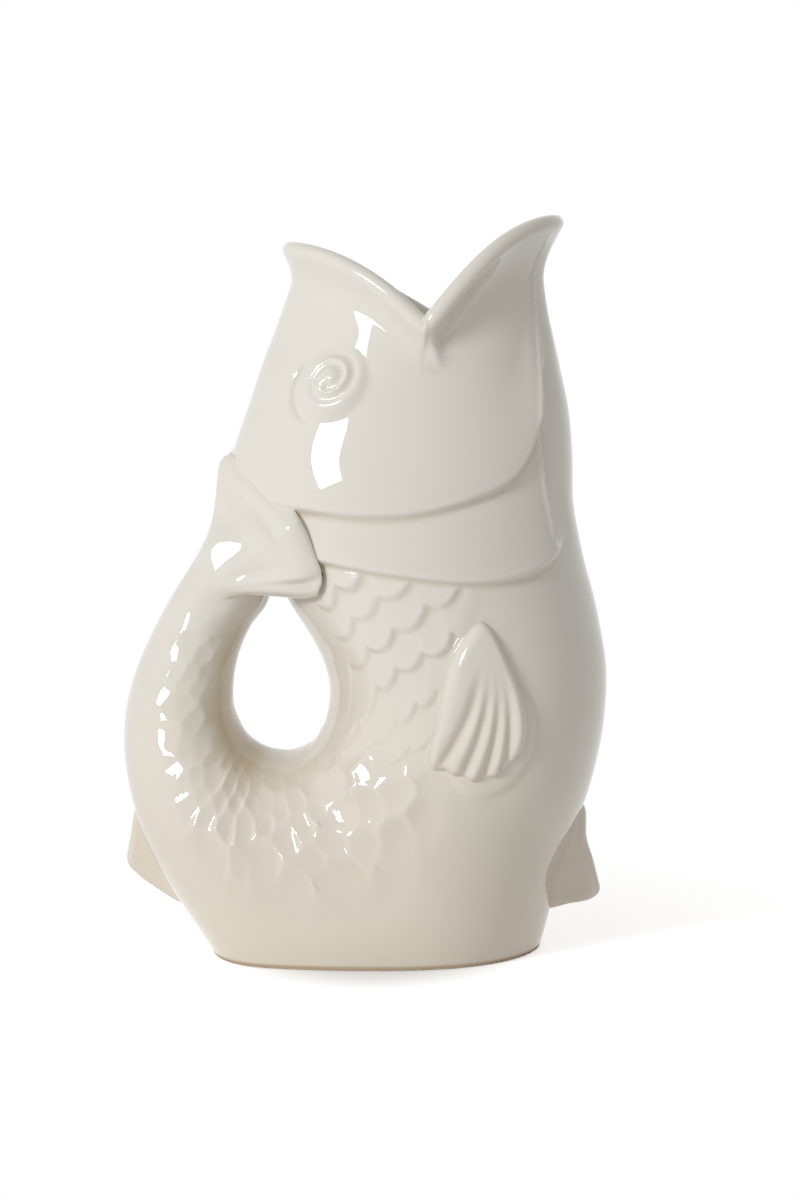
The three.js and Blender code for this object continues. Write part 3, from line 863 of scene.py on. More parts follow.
@dataclass(frozen=True)
class Glaze:
    """Cream gloss glaze over pale clay.

    The colours are linear. It pools a little darker in hollows, thins to a lighter tone on crests,
    is warmer towards the ground and duller inside the finger hole, and ends just above the ground,
    where the fired clay shows. A painted shade reaches it through the pooling value and darkens the
    inner side of the finger hole towards the hollow tone.
    """

    name: str
    colour: tuple = (0.79, 0.747, 0.664)
    hollow: tuple = (0.68, 0.59, 0.46)
    crest: tuple = (0.82, 0.784, 0.71)
    tone_places: tuple = (0.30, 0.66, 1.0)
    cloud: tuple = (24.0, 3.0)
    cloud_share: float = 0.22
    speck: tuple = (420.0, 2.0)
    speck_share: float = 0.05
    warm: tuple = (1.0, 0.952, 0.898)
    warm_height: float = 0.13
    clay: tuple = (0.52, 0.40, 0.27)
    clay_line: tuple = (0.00072, 0.00192)
    clay_roughness: float = 0.75
    roughness: float = 0.035
    refraction: float = 1.6
    gloss: float = 0.5
    hole_gloss: float = 0.08
    hole_place: tuple = (-0.0295, 0.0, 0.093)
    hole_half: tuple = (0.0185, math.inf, 0.0265)
    hole_edge: tuple = (1.05, 1.5)
    wave: tuple = (75.0, 1.0)
    ripple: float = 0.10
    ripple_depth: float = 0.0006

    def material(self) -> bpy.types.Material:
        """Return the material, made on the first call.

        Returns:
            The glaze as a node material.
        """
        found = bpy.data.materials.get(self.name)
        if found is not None:
            return found
        material = bpy.data.materials.new(self.name)
        material.use_nodes = True
        nodes = NodeKit(material.node_tree)
        place = nodes.place()
        height = nodes.add("SeparateXYZ", {0: place}).outputs["Z"]
        low = nodes.span(height, (0.0, self.warm_height), (1.0, 0.0))
        warmed = nodes.mix(low, self.tone(nodes, place), (*self.warm, 1.0), "MULTIPLY")
        glazed = nodes.span(height, self.clay_line)
        from_hole = nodes.oval(place, self.hole_place, self.hole_half)
        sheen = nodes.span(from_hole, self.hole_edge, (self.hole_gloss, self.gloss), "LINEAR")
        wave = nodes.noise(place, *self.wave)
        ripple = nodes.add("Bump", {"Strength": self.ripple, "Distance": self.ripple_depth, "Height": wave})
        nodes.feed(material.node_tree.nodes["Principled BSDF"], {
            "Base Color": nodes.mix(glazed, (*self.clay, 1.0), warmed),
            "Roughness": nodes.span(glazed, (0.0, 1.0), (self.clay_roughness, self.roughness), "LINEAR"),
            "IOR": self.refraction,
            "Specular IOR Level": sheen,
            "Normal": ripple.outputs[0],
        })
        return material

    def tone(self, nodes: NodeKit, place: Socket) -> Socket:
        """Return the glaze's colour, from crests to hollows.

        Args:
            nodes: Nodes of the material.
            place: Coordinates to read.

        Returns:
            The colour.
        """
        # The attribute holds the glaze pooling and, on the body and tail, the painted shade of the finger
        # hole.
        pool_and_shade = nodes.add("Attribute", {}, attribute_name="pool_and_shade").outputs["Fac"]
        depth = nodes.reckon("MULTIPLY_ADD", nodes.noise(place, *self.cloud), self.cloud_share, pool_and_shade)
        depth = nodes.reckon("MULTIPLY_ADD", nodes.noise(place, *self.speck), self.speck_share, depth)
        tones = nodes.add("ValToRGB", {0: depth})
        stops = tones.color_ramp.elements
        stops.new(self.tone_places[1])
        for stop, position, colour in zip(stops, self.tone_places, (self.crest, self.colour, self.hollow)):
            stop.position = position
            stop.color = (*colour, 1.0)
        return tones.outputs[0]


BODY_GLAZE = Glaze("cream_gloss_body")
TAIL_GLAZE = Glaze("cream_gloss_tail", colour=(0.787, 0.743, 0.662))
FIN_GLAZE = Glaze("cream_gloss_fin")
EYE_GLAZE = Glaze("cream_gloss_eye")


def dress(piece: Piece, glaze: Glaze, slot: Slot, *nodes: str) -> Piece:
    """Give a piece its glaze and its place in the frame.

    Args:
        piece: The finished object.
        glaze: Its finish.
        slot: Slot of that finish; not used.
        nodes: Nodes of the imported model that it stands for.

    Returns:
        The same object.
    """
    piece.data.materials.append(glaze.material())
    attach(piece, "root")
    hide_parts(*nodes)
    return piece


@dataclass
class FishBody:
    """Hollow body and tail, one continuous skin that is made in four pieces."""

    skin: FishSkin
    mouth: Mouth
    relief: Relief
    columns: int = 400
    head_rows: int = 186
    head_gather: float = 0.55
    belly_rows: int = 100
    foot_rows: int = 204
    tail_rows: int = 130
    lip_rows: int = 14
    lip_step: int = 3
    lip_lean: float = 0.3
    inner_rows: tuple = (26, 14, 30, 20)
    inner_start: float = 1.25
    inner_flare: float = 0.9
    seam_rows: int = 3
    wall: float = 5.0
    floor: float = 6.0
    floor_from: float = 150.0
    # Painted shade: strength of the darker, warmer tone laid on the inner side of the finger hole.
    painted_shade_strength: float = 0.5
    hole_span: tuple = (18.0, 40.0)
    painted_shade_start_span: tuple = (238.0, 36.0)
    ground: float = 1e-5
    cut_gap: float = 1e-7
    angles: Array = field(init=False)
    outer: Array = field(init=False)
    normals: Array = field(init=False)
    tint: Array = field(init=False)
    painted_hole_shade: Array = field(init=False)

    def __post_init__(self) -> None:
        """Work out the outer surface of the whole fish."""
        self.angles = np.linspace(0.0, 2.0 * math.pi, self.columns + 1)
        top = self.mouth.rim(self.angles) + self.mouth.lip_drop
        share = np.linspace(0.0, 1.0, self.head_rows + 1)[:, None]
        share = share * (self.head_gather + (1.0 - self.head_gather) * share)
        head = top + (self.skin.head_end - top) * share
        spans = ((self.skin.head_end, self.skin.belly_end, self.belly_rows),
                 (self.skin.belly_end, self.skin.joint, self.foot_rows),
                 (self.skin.joint, self.skin.tail_end, self.tail_rows))
        rest = [np.linspace(first, last, count + 1)[1:] for first, last, count in spans]
        flat = np.concatenate(rest)[:, None] * np.ones_like(self.angles)
        at = np.concatenate([head, flat])
        angle = np.broadcast_to(self.angles, at.shape)
        lift = self.relief.lift(angle, at)
        self.outer = self.skin.point(angle, at, lift)
        self.normals = self.surface_normals(self.outer)
        # Painted shade on the inner side of the finger hole, added on top of the glaze pooling.
        inside_hole = 1.0 - ramp(degrees_of(angle), *self.hole_span)
        self.painted_hole_shade = self.painted_shade_strength * inside_hole * ramp(at, *self.painted_shade_start_span)
        self.tint = np.clip(MeshKit.pooling(lift) + self.painted_hole_shade, 0, 1)

    def surface_normals(self, points: Array) -> Array:
        """Return the outward directions of a surface that closes around the fish.

        Args:
            points: Points by row and column.

        Returns:
            Unit vectors of the same shape.
        """
        around = np.concatenate([points[:, -2:-1], points, points[:, 1:2]], axis=1)
        step_round = around[:, 2:] - around[:, :-2]
        step_along = np.gradient(points, axis=0)
        return unit(np.cross(step_along, step_round))

    def inside_normals(self, inner: Array) -> Array:
        """Return the directions of an inner wall, which face the hollow.

        Args:
            inner: Points by row and column.

        Returns:
            Unit vectors by row and column.
        """
        directions = self.surface_normals(inner)
        inward = inner.mean(axis=1, keepdims=True) - inner
        return directions * np.sign(np.sum(directions * inward))

    def row_of(self, index: int) -> int:
        """Return the row at which a span ends: 0 the rim, 1 head, 2 belly, 3 foot, 4 tail."""
        return sum((self.head_rows, self.belly_rows, self.foot_rows, self.tail_rows)[:index])

    def inner_wall(self, first: float, last: Array, rows: int) -> Array:
        """Return rows of the inner wall.

        Args:
            first: Place along the fish of the first row.
            last: Places of the last row for each column.
            rows: Number of spans.

        Returns:
            Points by row and column.
        """
        share = np.linspace(0.0, 1.0, rows + 1)[:, None]
        at = first + (last - first) * share
        angle = np.broadcast_to(self.angles, at.shape)
        lift = self.inner_flare * self.mouth.flare(angle, at) - self.wall
        points = self.skin.point(angle, at, lift)
        height = points[..., 2]
        points[..., 2] = np.where(at > self.floor_from, np.maximum(height, self.floor), height)
        return points

    def lip(self) -> Array:
        """Return rows over the rounded lip, from the outer skin to the inner wall.

        Returns:
            Points by row and column.
        """
        rim, facing = self.outer[0], self.normals[0]
        up = unit(rim - self.outer[self.lip_step])
        edge = np.gradient(np.concatenate([rim[-2:-1], rim, rim[1:2]]), axis=0)[1:-1]
        across = np.cross(edge, facing)
        across = unit(across * np.sign(np.sum(across * up, axis=-1, keepdims=True)))
        up = unit(self.lip_lean * up + (1.0 - self.lip_lean) * across)
        out = unit(facing - up * np.sum(facing * up, axis=-1, keepdims=True))
        half = self.mouth.wall / 2.0
        middle = rim - out * half
        swing = np.linspace(0.0, math.pi, self.lip_rows + 1)[1:, None, None]
        return middle + half * (np.cos(swing) * out + np.sin(swing) * up)

    def build(self) -> list[Piece]:
        """Make head, belly, foot and tail.

        Returns:
            The four dressed pieces.
        """
        skin = self.skin
        top = self.mouth.rim(self.angles) + self.mouth.wall * self.inner_start
        pieces = [self.head(self.lip(), self.inner_wall(skin.head_end, top, self.inner_rows[0])[::-1])]
        parts = (("belly_shell", skin.head_end, skin.belly_end, BODY_GLAZE, Slot.BODY),
                 ("foot_shell", skin.belly_end, skin.joint, BODY_GLAZE, Slot.BODY),
                 ("tail_handle", skin.joint, skin.tail_end, TAIL_GLAZE, Slot.TAIL))
        for index, (name, first, last, glaze, slot) in enumerate(parts, start=1):
            inner = self.inner_wall(last, np.full_like(self.angles, first), self.inner_rows[index])
            pieces.append(self.shell(name, index, inner, glaze, slot))
        return pieces

    def head(self, over: Array, inner: Array) -> Piece:
        """Make the head: outer skin up from its lower edge, over the lip and down inside.

        Args:
            over: Rows over the lip, from outside to inside.
            inner: Rows of the inner wall, from the lip down.

        Returns:
            The dressed piece.
        """
        end = self.row_of(1)
        outer = self.outer[: end + 1][::-1]
        points = np.concatenate([outer, over, inner, outer[:1]])
        normals = np.zeros_like(points)
        normals[0] = self.normals[end]
        normals[-1] = normals[0]
        normals[-1 - self.seam_rows:-1] = self.inside_normals(inner)[-self.seam_rows:]
        piece = self.close("head_shell", points, normals, self.tint[: end + 1][::-1])
        return dress(piece, BODY_GLAZE, Slot.BODY, "head_shell")

    def shell(self, name: str, index: int, inner: Array, glaze: Glaze, slot: Slot) -> Piece:
        """Make one piece of the skin with its inner wall.

        Args:
            name: Name of the piece and of the node that it stands for.
            index: Index of the span before the piece.
            inner: Rows of its inner wall, from its last row back to its first.
            glaze: Its finish.
            slot: Its material slot.

        Returns:
            The dressed piece.
        """
        begin, end = self.row_of(index), self.row_of(index + 1)
        outer = self.outer[begin:end + 1]
        points = np.concatenate([outer, inner, outer[:1]])
        facing = self.normals[begin:end + 1]
        normals = np.concatenate([facing, self.inside_normals(inner), facing[:1]])
        piece = self.close(name, points, normals, self.tint[begin:end + 1])
        return dress(piece, glaze, slot, name)

    def close(self, name: str, points: Array, normals: Array, tint: Array) -> Piece:
        """Make a closed piece from its rows.

        Args:
            name: Name of the piece.
            points: Points by row and column, back to the first row.
            normals: Surface directions by row and column.
            tint: Pooling of the glaze with the painted shade of the finger hole, on the outer rows, which
                come first.

        Returns:
            The finished object.
        """
        pool_and_shade = np.full(points.shape[:2], PLAIN_POOL)
        pool_and_shade[: len(tint)] = tint
        work = MeshKit.shaped_grid(points)
        MeshKit.weld(work)
        self.stand(work)
        return MeshKit.finish(work, name, pool_and_shade, normals)

    def stand(self, work: bmesh.types.BMesh) -> None:
        """Cut a piece flat at the ground and close the cut.

        Args:
            work: The bmesh to cut.
        """
        if min(vert.co.z for vert in work.verts) > self.ground:
            return
        everything = work.verts[:] + work.edges[:] + work.faces[:]
        cut = bmesh.ops.bisect_plane(work, geom=everything, dist=self.cut_gap, plane_co=(0, 0, 0),
                                     plane_no=(0, 0, -1), clear_outer=True)
        loop = [item for item in cut["geom_cut"] if isinstance(item, bmesh.types.BMEdge)]
        bmesh.ops.contextual_create(work, geom=loop)
        bmesh.ops.recalc_face_normals(work, faces=work.faces)


@dataclass
class TailFluke:
    """Two-lobed tail fin that spreads out of the tail over the back of the head.

    Its rim, groove, crease and roll are bumps, and so is the swell under it.
    """

    skin: FishSkin
    body: FishBody
    rows: int = 150
    edge_keys: tuple = (
        (-1.0, 49, 127), (-0.94, 54.5, 122.5), (-0.86, 58.2, 116.5), (-0.78, 59.2, 110.5),
        (-0.7, 59.4, 104.5), (-0.62, 57.5, 98.5), (-0.55, 52.5, 94), (-0.48, 45.5, 89.5),
        (-0.4, 36.5, 85.2), (-0.32, 25, 82), (-0.25, 14.5, 80.6), (-0.17, 8, 84),
        (-0.08, 3, 89.5), (0.0, 0, 92.5),
    )
    edge_stand_off: float = 2.5
    edge_half_thickness: float = 3.0
    edge_pull: float = 0.40
    edge_run: tuple = (0.06, 0.10)
    edge_power: tuple = (0.5, 0.35)
    luted_spans: tuple = ((0.22, 0.10), (0.54, 0.10))
    luted_sink: float = 0.3
    tube_run: float = 26.0
    tube_span: tuple = (0.16, 0.78)
    painted_shade_run: float = 0.45
    squareness: float = 0.45
    arch_sag: float = 2.4
    arch_width: float = 0.3
    arch_place: tuple = (0.62, 0.3)
    root_start: float = 6.0
    root_half_width: float = 28.0
    root_pull: float = 0.35
    turn_rate: float = 1.25
    thin_run: float = 0.72
    blunt: tuple = (0.5, 0.6)
    under_swell: tuple = (2.3, 0.5, 0.25)
    face_rate: float = 2.0
    flank_place: tuple = (-46.6, 25.6, 137.4)
    flank_slope: tuple = (0.274, 0.266)
    flank_radius: float = 9.5
    flank_power: int = 4
    flank_span: tuple = (13.0, 6.0)
    rim: tuple = (2.2, 6.0, 4.2)
    rim_spans: tuple = ((0.18, 0.26), (0.86, 0.08))
    groove: tuple = (-3.8, 15.5, 6.5)
    groove_spans: tuple = ((0.18, 0.28), (0.74, 0.16))
    crease: tuple = (-0.9, 0.885, 0.022)
    crease_grow: tuple = (2.4, 1.1)
    roll: tuple = (0.9, 0.955, 0.035)
    roll_grow: tuple = (2.0, 0.5)

    def build(self) -> Piece:
        """Make the fluke as a loft from the tail's last ring to the fin's free edge.

        Returns:
            The dressed piece.
        """
        angles = self.body.angles
        share = np.linspace(0.0, 1.0, self.rows + 1)[:, None]
        tube = self.skin.point(np.broadcast_to(angles, (self.rows + 1, len(angles))),
                               self.skin.tail_end + self.tube_run * share * np.ones_like(angles),
                               self.body.relief.wobble(angles, self.skin.tail_end) * np.ones_like(share))
        leaf, height = self.leaf(share)
        points = tube + (leaf - tube) * ramp(share, *self.tube_span)[..., None]
        points[..., 1] += self.flank(points)
        normals = np.zeros_like(points)
        normals[0] = self.body.normals[-1]
        work = MeshKit.shaped_grid(points)
        MeshKit.weld(work, 2.0 * MERGE_GAP)
        MeshKit.cap(work)
        # The finger hole's painted shade runs on into the fluke's root and fades out.
        tint = MeshKit.pooling(height) + self.body.painted_hole_shade[-1] * (1.0 - ramp(share, 0.0, self.painted_shade_run))
        piece = MeshKit.finish(work, "tail_fluke", tint, normals)
        return dress(piece, TAIL_GLAZE, Slot.TAIL, "tail_fluke")

    def free_edge(self, spread: Array) -> tuple[Array, Array, Array]:
        """Return the fin's free edge over the head.

        Args:
            spread: Place across the fin, from -1 to 1.

        Returns:
            Points of the edge, the skin's directions there, and how far it is luted down.
        """
        degrees, at = np.moveaxis(Curve.through(self.edge_keys)(-np.abs(spread)), -1, 0)
        angle = np.radians(degrees) * np.where(spread > 0, -1.0, 1.0)
        normal = self.skin.normal(angle, at)
        luted = band(np.abs(spread), *self.luted_spans)
        stand_off = self.edge_stand_off - (self.edge_stand_off + self.luted_sink) * luted
        return self.skin.point(angle, at) + normal * stand_off[:, None], normal, luted

    def leaf(self, share: Array) -> tuple[Array, Array]:
        """Return the leaf's surface around its whole section.

        Args:
            share: Share of the way from the tail to the free edge, as a column.

        Returns:
            Points by row and column, and the relief on them.
        """
        angles = self.body.angles
        spread = (angles - math.pi) / (math.pi / 2.0)
        spread = np.where(np.abs(spread) > 1.0, np.sign(spread) * (2.0 - np.abs(spread)), spread)
        edge_point, edge_normal, luted = self.free_edge(spread)
        start = self.skin.tail_end + self.root_start
        middle = self.skin.middle(start)
        across = -np.sign(np.sin(angles)) * np.abs(np.sin(angles)) ** self.squareness
        root = middle + across[:, None] * np.array([0.0, self.root_half_width, 0.0])
        tailward = unit(self.skin.middle(start + 1.0) - middle)
        chord = edge_point - root
        length = np.linalg.norm(chord, axis=1, keepdims=True)
        flat = unit(chord - edge_normal * np.sum(chord * edge_normal, axis=1, keepdims=True))
        first = root + self.root_pull * length * tailward
        last = edge_point - self.edge_pull * length * flat
        late = share[..., None]
        early = 1.0 - late
        mid = early**3 * root + late**3 * edge_point + 3.0 * early * late * (early * first + late * last)
        at_edge = bell((1.0 - np.abs(spread)) / self.arch_width)
        mid[..., 2] -= bump(share, self.arch_sag, *self.arch_place) * at_edge
        depth = self.skin.point(math.pi, start) - self.skin.point(0.0, start)
        turn = smooth_step(share * self.turn_rate)[..., None]
        normal = unit(unit(depth) * (1.0 - turn) + edge_normal * turn)
        reach = np.linalg.norm(depth) / 2.0
        thick = reach + (self.edge_half_thickness - reach) * ramp(share, 0.0, self.thin_run)
        run = self.edge_run[0] + self.edge_run[1] * luted
        thick = thick * rounded(1.0 - share, run, self.edge_power[0] + self.edge_power[1] * luted)
        out = -np.cos(angles)
        out = np.sign(out) * np.abs(out) ** (1.0 - self.blunt[0] * ramp(share, 0.0, self.blunt[1]))
        under = 1.0 + bump(share, *self.under_swell) * (out < 0)
        relief = self.ripple(np.broadcast_to(spread, mid.shape[:2]), share, length[:, 0])
        lift = thick * out * under + relief * np.clip(out * self.face_rate, 0, 1)
        return mid + normal * lift[..., None], relief

    def flank(self, points: Array) -> Array:
        """Return how far the fin's root is filled out sideways into one flat facet on each flank.

        Args:
            points: Places of the fin's surface.

        Returns:
            Distances across the jug, with the sign of the flank.
        """
        aside = points[..., 0] - self.flank_place[0]
        depth = np.abs(points[..., 1])
        up = points[..., 2] - self.flank_place[2]
        plane = self.flank_place[1] + self.flank_slope[0] * aside - self.flank_slope[1] * up
        window = np.exp(-(np.hypot(aside, up) / self.flank_radius) ** self.flank_power)
        window = window * ramp(depth, *self.flank_span)
        return np.sign(points[..., 1]) * window * np.maximum(plane - depth, 0.0)

    def ripple(self, spread: Array, share: Array, length: Array) -> Array:
        """Return the rolled rim, the groove behind it and the crease and roll of the lower edge.

        Args:
            spread: Place across the fin, from -1 to 1.
            share: Share of the way to the free edge.
            length: Length of the fin for each column.

        Returns:
            Relief on the outer face.
        """
        inward = (1.0 - share) * length
        aside = np.abs(spread)
        rim = bump(inward, *self.rim) * band(aside, *self.rim_spans)
        groove = bump(inward, *self.groove) * band(aside, *self.groove_spans)
        crease = bump(aside, *self.crease) * smooth_step(share * self.crease_grow[0] - self.crease_grow[1])
        roll = bump(aside, *self.roll) * smooth_step(share * self.roll_grow[0] - self.roll_grow[1])
        return rim + groove + crease + roll


@dataclass
class LeafPatch:
    """Raised leaf that follows the skin, shaped from rings around its middle."""

    skin: FishSkin
    side: Side
    centre: tuple = (0.0, 0.0)
    spokes: int = 220
    rings: int = 70
    ring_gather: float = 0.8
    skirt: float = 0.18
    skirt_rings: int = 10
    sunk: float = 0.5
    fillet: float = 2.6
    root_depth: float = 2.0
    root_taper: float = 0.06

    def rings_share(self) -> Array:
        """Return ring radii from 0 at the middle to 1 at the outline, then the skirt.

        Returns:
            Radii as a column.
        """
        inner = np.linspace(0.0, 1.0, self.rings) ** self.ring_gather
        skirt = np.linspace(1.0, 1.0 + self.skirt, self.skirt_rings + 1)[1:]
        return np.concatenate([inner, skirt])[:, None]

    def settle(self, raw: Array) -> Array:
        """Return heights that run out softly into the skin."""
        return np.logaddexp(0.0, raw * self.fillet) / self.fillet

    def place(self, degrees: Array, at: Array, height: Array) -> Array:
        """Return points at heights over the plain skin, on this piece's flank."""
        angle = np.radians(degrees) * self.side.value
        return self.skin.point(angle, at) + self.skin.normal(angle, at) * height[..., None]

    def solid(self, name: str, points: Array, tint: Array, glaze: Glaze, slot: Slot) -> Piece:
        """Close a patch underneath and dress it.

        Args:
            name: Name of the piece and of the node that it stands for.
            points: Points by ring and spoke.
            tint: Pooling by ring and spoke.
            glaze: Its finish.
            slot: Its material slot.

        Returns:
            The dressed piece.
        """
        points[0] = points[0].mean(axis=0)
        inward = -self.skin.normal(math.radians(self.centre[0]) * self.side.value, self.centre[1])
        root = points[-1] + inward * self.root_depth + (points[0] - points[-1]) * self.root_taper
        work = MeshKit.shaped_grid(np.concatenate([points, root[None]]))
        MeshKit.weld(work)
        MeshKit.cap(work)
        piece = MeshKit.finish(work, name, np.concatenate([tint, tint[-1:]]))
        return dress(piece, glaze, slot, name)


@dataclass
class PectoralFin(LeafPatch):
    """Side fin: a fan of ribs spread from its tip, with a scalloped lower edge."""

    centre: tuple = (97.0, 166.0)
    spokes: int = 300
    rings: int = 90
    skirt: float = 0.10
    skirt_start: float = 0.6
    outline: tuple = (
        (106, 134.3), (99.3, 137.6), (91.1, 145.7), (85.4, 155.4), (81.5, 164.9), (79.4, 175.9),
        (79.8, 184.2), (83.2, 187.4), (86.8, 186.3), (90.2, 187.6), (94.2, 186.9), (98.0, 188.0),
        (102.4, 186.0), (106.6, 185.0), (110.4, 181.0), (114.2, 177.0), (116.0, 170.5), (114.6, 161.5),
        (111.5, 150.5), (109.2, 141.0),
    )
    tip: tuple = (106.0, 132.5)
    tip_gap: float = 0.1
    per_degree: float = 0.84
    rise: float = 4.6
    swell: tuple = (0.72, 40.0)
    edge_run: float = 5.0
    edge_power: float = 0.62
    edge_fall: float = 1.6
    rib_leans: tuple = (-0.325, -0.195, -0.075, 0.040)
    rib_depth: float = 2.1
    rib_start: float = 24.0
    rib_half_width: float = 1.8
    rib_span: tuple = (14.0, 22.0)
    pool_reach: int = 6

    def build(self) -> Piece:
        """Make the fin.

        Returns:
            The dressed piece.
        """
        edge = closed_outline(self.outline, self.spokes, (self.per_degree, 1.0))
        share = self.rings_share()
        degrees = self.centre[0] + (edge[:, 0] - self.centre[0]) * share
        at = self.centre[1] + (edge[:, 1] - self.centre[1]) * share
        height = self.height(degrees, at, share, edge)
        tint = MeshKit.pooling(height, self.pool_reach)
        name = f"pectoral_fin_{self.side.name.lower()}"
        return self.solid(name, self.place(degrees, at, height), tint, FIN_GLAZE, Slot.FIN)

    def height(self, degrees: Array, at: Array, share: Array, edge: Array) -> Array:
        """Return the fin's height over the skin.

        Args:
            degrees: Angles around the fish.
            at: Places along the fish.
            share: Share of the way to the outline.
            edge: Outline of the fin, as angle and place for each spoke.

        Returns:
            Heights by ring and spoke.
        """
        aside = (degrees - self.tip[0]) * self.per_degree
        down = np.maximum(at - self.tip[1], self.tip_gap)
        lean = np.arctan2(aside, down)
        length = np.hypot(aside, down)
        breadth = np.maximum(length, self.rib_start) / self.rib_half_width
        ribs = sum(bell((lean - rib) * breadth) for rib in self.rib_leans) * ramp(length, *self.rib_span)
        radius = np.hypot((edge[:, 0] - self.centre[0]) * self.per_degree, edge[:, 1] - self.centre[1])
        inward = (1.0 - share) * radius
        round_off = rounded(inward, self.edge_run, self.edge_power)
        swell = self.swell[0] + (1.0 - self.swell[0]) * ramp(length, 0.0, self.swell[1])
        raw = (self.rise * swell - self.rib_depth * ribs) * round_off
        raw = raw + self.edge_fall * np.minimum(inward, 0.0)
        skirt_run = (1.0 - self.skirt_start) * self.skirt
        return self.settle(raw) - self.sunk * ramp(share, 1.0 + self.skirt_start * self.skirt, skirt_run)


@dataclass
class Eye(LeafPatch):
    """Low domed eye with a spiral groove."""

    centre: tuple = EYE_PLACE
    spokes: int = 260
    rings: int = 110
    radius: float = 12.2
    rise: float = 3.6
    fullness: float = 0.3
    groove_depth: float = 1.25
    groove_half_width: float = 1.6
    groove_span: tuple = (-0.02, 0.10)
    turns: float = 1.6
    outer_radius: float = 8.6
    inner_radius: float = 2.9
    start: float = 2.3
    spiral_up: float = 1.4
    spiral_steps: int = 160
    sunk_span: tuple = (1.10, 0.08)
    angle_step: float = 0.01
    pool_reach: int = 5

    def build(self) -> Piece:
        """Make the eye.

        Returns:
            The dressed piece.
        """
        share = self.rings_share()
        round_about = np.linspace(0.0, 2.0 * math.pi, self.spokes + 1)
        right = self.radius * share * np.cos(round_about)
        up = self.radius * share * np.sin(round_about)
        degrees, at = self.centre
        angle = math.radians(degrees)
        step = self.skin.point(angle + self.angle_step, at) - self.skin.point(angle - self.angle_step, at)
        per_degree = np.linalg.norm(step) / math.degrees(2.0 * self.angle_step)
        height = self.height(share, right, up)
        tint = MeshKit.pooling(height, self.pool_reach)
        points = self.place(degrees + right / per_degree, at - up, height)
        return self.solid(f"eye_{self.side.name.lower()}", points, tint, EYE_GLAZE, Slot.EYE)

    def height(self, share: Array, right: Array, up: Array) -> Array:
        """Return the eye's height over the skin.

        Args:
            share: Share of the way to the outline.
            right: Place along the head, forward.
            up: Place up the head.

        Returns:
            Heights by ring and spoke.
        """
        dome = self.settle(self.rise * (1.0 - share**2) * (1.0 + self.fullness * share**2))
        along = np.linspace(0.0, 1.0, self.spiral_steps)
        radius = self.outer_radius + (self.inner_radius - self.outer_radius) * along
        swing = self.start - along * self.turns * 2.0 * math.pi
        path_x, path_y = radius * np.cos(swing), radius * np.sin(swing) + self.spiral_up
        near = np.full(right.shape, np.inf)
        ends = np.zeros(right.shape)
        for x, y, place in zip(path_x, path_y, along):
            gap = np.hypot(right - x, up - y)
            ends = np.where(gap < near, place, ends)
            near = np.minimum(near, gap)
        groove = self.groove_depth * bell(near / self.groove_half_width) * ramp(ends, *self.groove_span)
        return dome - groove - self.sunk * ramp(share, *self.sunk_span)


@dataclass
class KeelFin:
    """Small upright fin on the middle line at one end of the foot."""

    name: str
    outline: tuple
    centre: tuple
    root_towards: float
    half_thickness: float = 3.3
    edge_round: float = 2.6
    root_span: tuple = (-2.0, 9.0)
    root_swell: float = 0.55
    dip: tuple = (0.35, 6.0, 4.0)
    spokes: int = 160
    rings: int = 40
    ring_gather: float = 0.7
    mirror_gap: float = 2e-5

    def build(self) -> Piece:
        """Make the fin as one rounded face, mirrored across the middle.

        Returns:
            The dressed piece.
        """
        edge = closed_outline(self.outline, self.spokes)
        share = (np.linspace(0.0, 1.0, self.rings) ** self.ring_gather)[:, None]
        middle = np.array(self.centre)
        flat = middle + (edge - middle) * share[..., None]
        inward = (1.0 - share) * np.linalg.norm(edge - middle, axis=1)
        thick = self.half_thickness * rounded(inward, self.edge_round)
        rooted = ramp(self.root_towards * (flat[..., 0] - middle[0]), *self.root_span)
        thick = thick * (1.0 + self.root_swell * rooted) - (1.0 - rooted) * bump(inward, *self.dip)
        points = np.stack([flat[..., 0], -thick, flat[..., 1]], axis=-1)
        points[0] = points[0].mean(axis=0)
        work = MeshKit.shaped_grid(points)
        bmesh.ops.remove_doubles(work, verts=work.verts, dist=MERGE_GAP)
        everything = work.verts[:] + work.edges[:] + work.faces[:]
        bmesh.ops.mirror(work, geom=everything, merge_dist=self.mirror_gap, axis="Y")
        MeshKit.weld(work, self.mirror_gap)
        piece = MeshKit.finish(work, self.name, np.full(points.shape[:2], PLAIN_POOL))
        return dress(piece, FIN_GLAZE, Slot.FIN, self.name)


@dataclass
class FrontKeelFin(KeelFin):
    """Keel fin at the front of the foot."""

    name: str = "front_keel_fin"
    outline: tuple = ((58, 46), (74.8, 49), (76, 38), (78, 31), (80.2, 22.5), (80.6, 19),
                      (78.8, 16.8), (70.4, 14.4), (62, 12.6), (56, 14), (54, 30))
    centre: tuple = (68, 30)
    root_towards: float = -1.0


@dataclass
class RearKeelFin(KeelFin):
    """Keel fin at the back of the foot."""

    name: str = "rear_keel_fin"
    outline: tuple = ((-62, 46), (-78.6, 47.5), (-81, 38), (-82.4, 31), (-82.4, 27.5),
                      (-79.6, 23.8), (-70, 16.8), (-62, 13.2), (-55, 15), (-54, 30))
    centre: tuple = (-69, 31)
    root_towards: float = 1.0


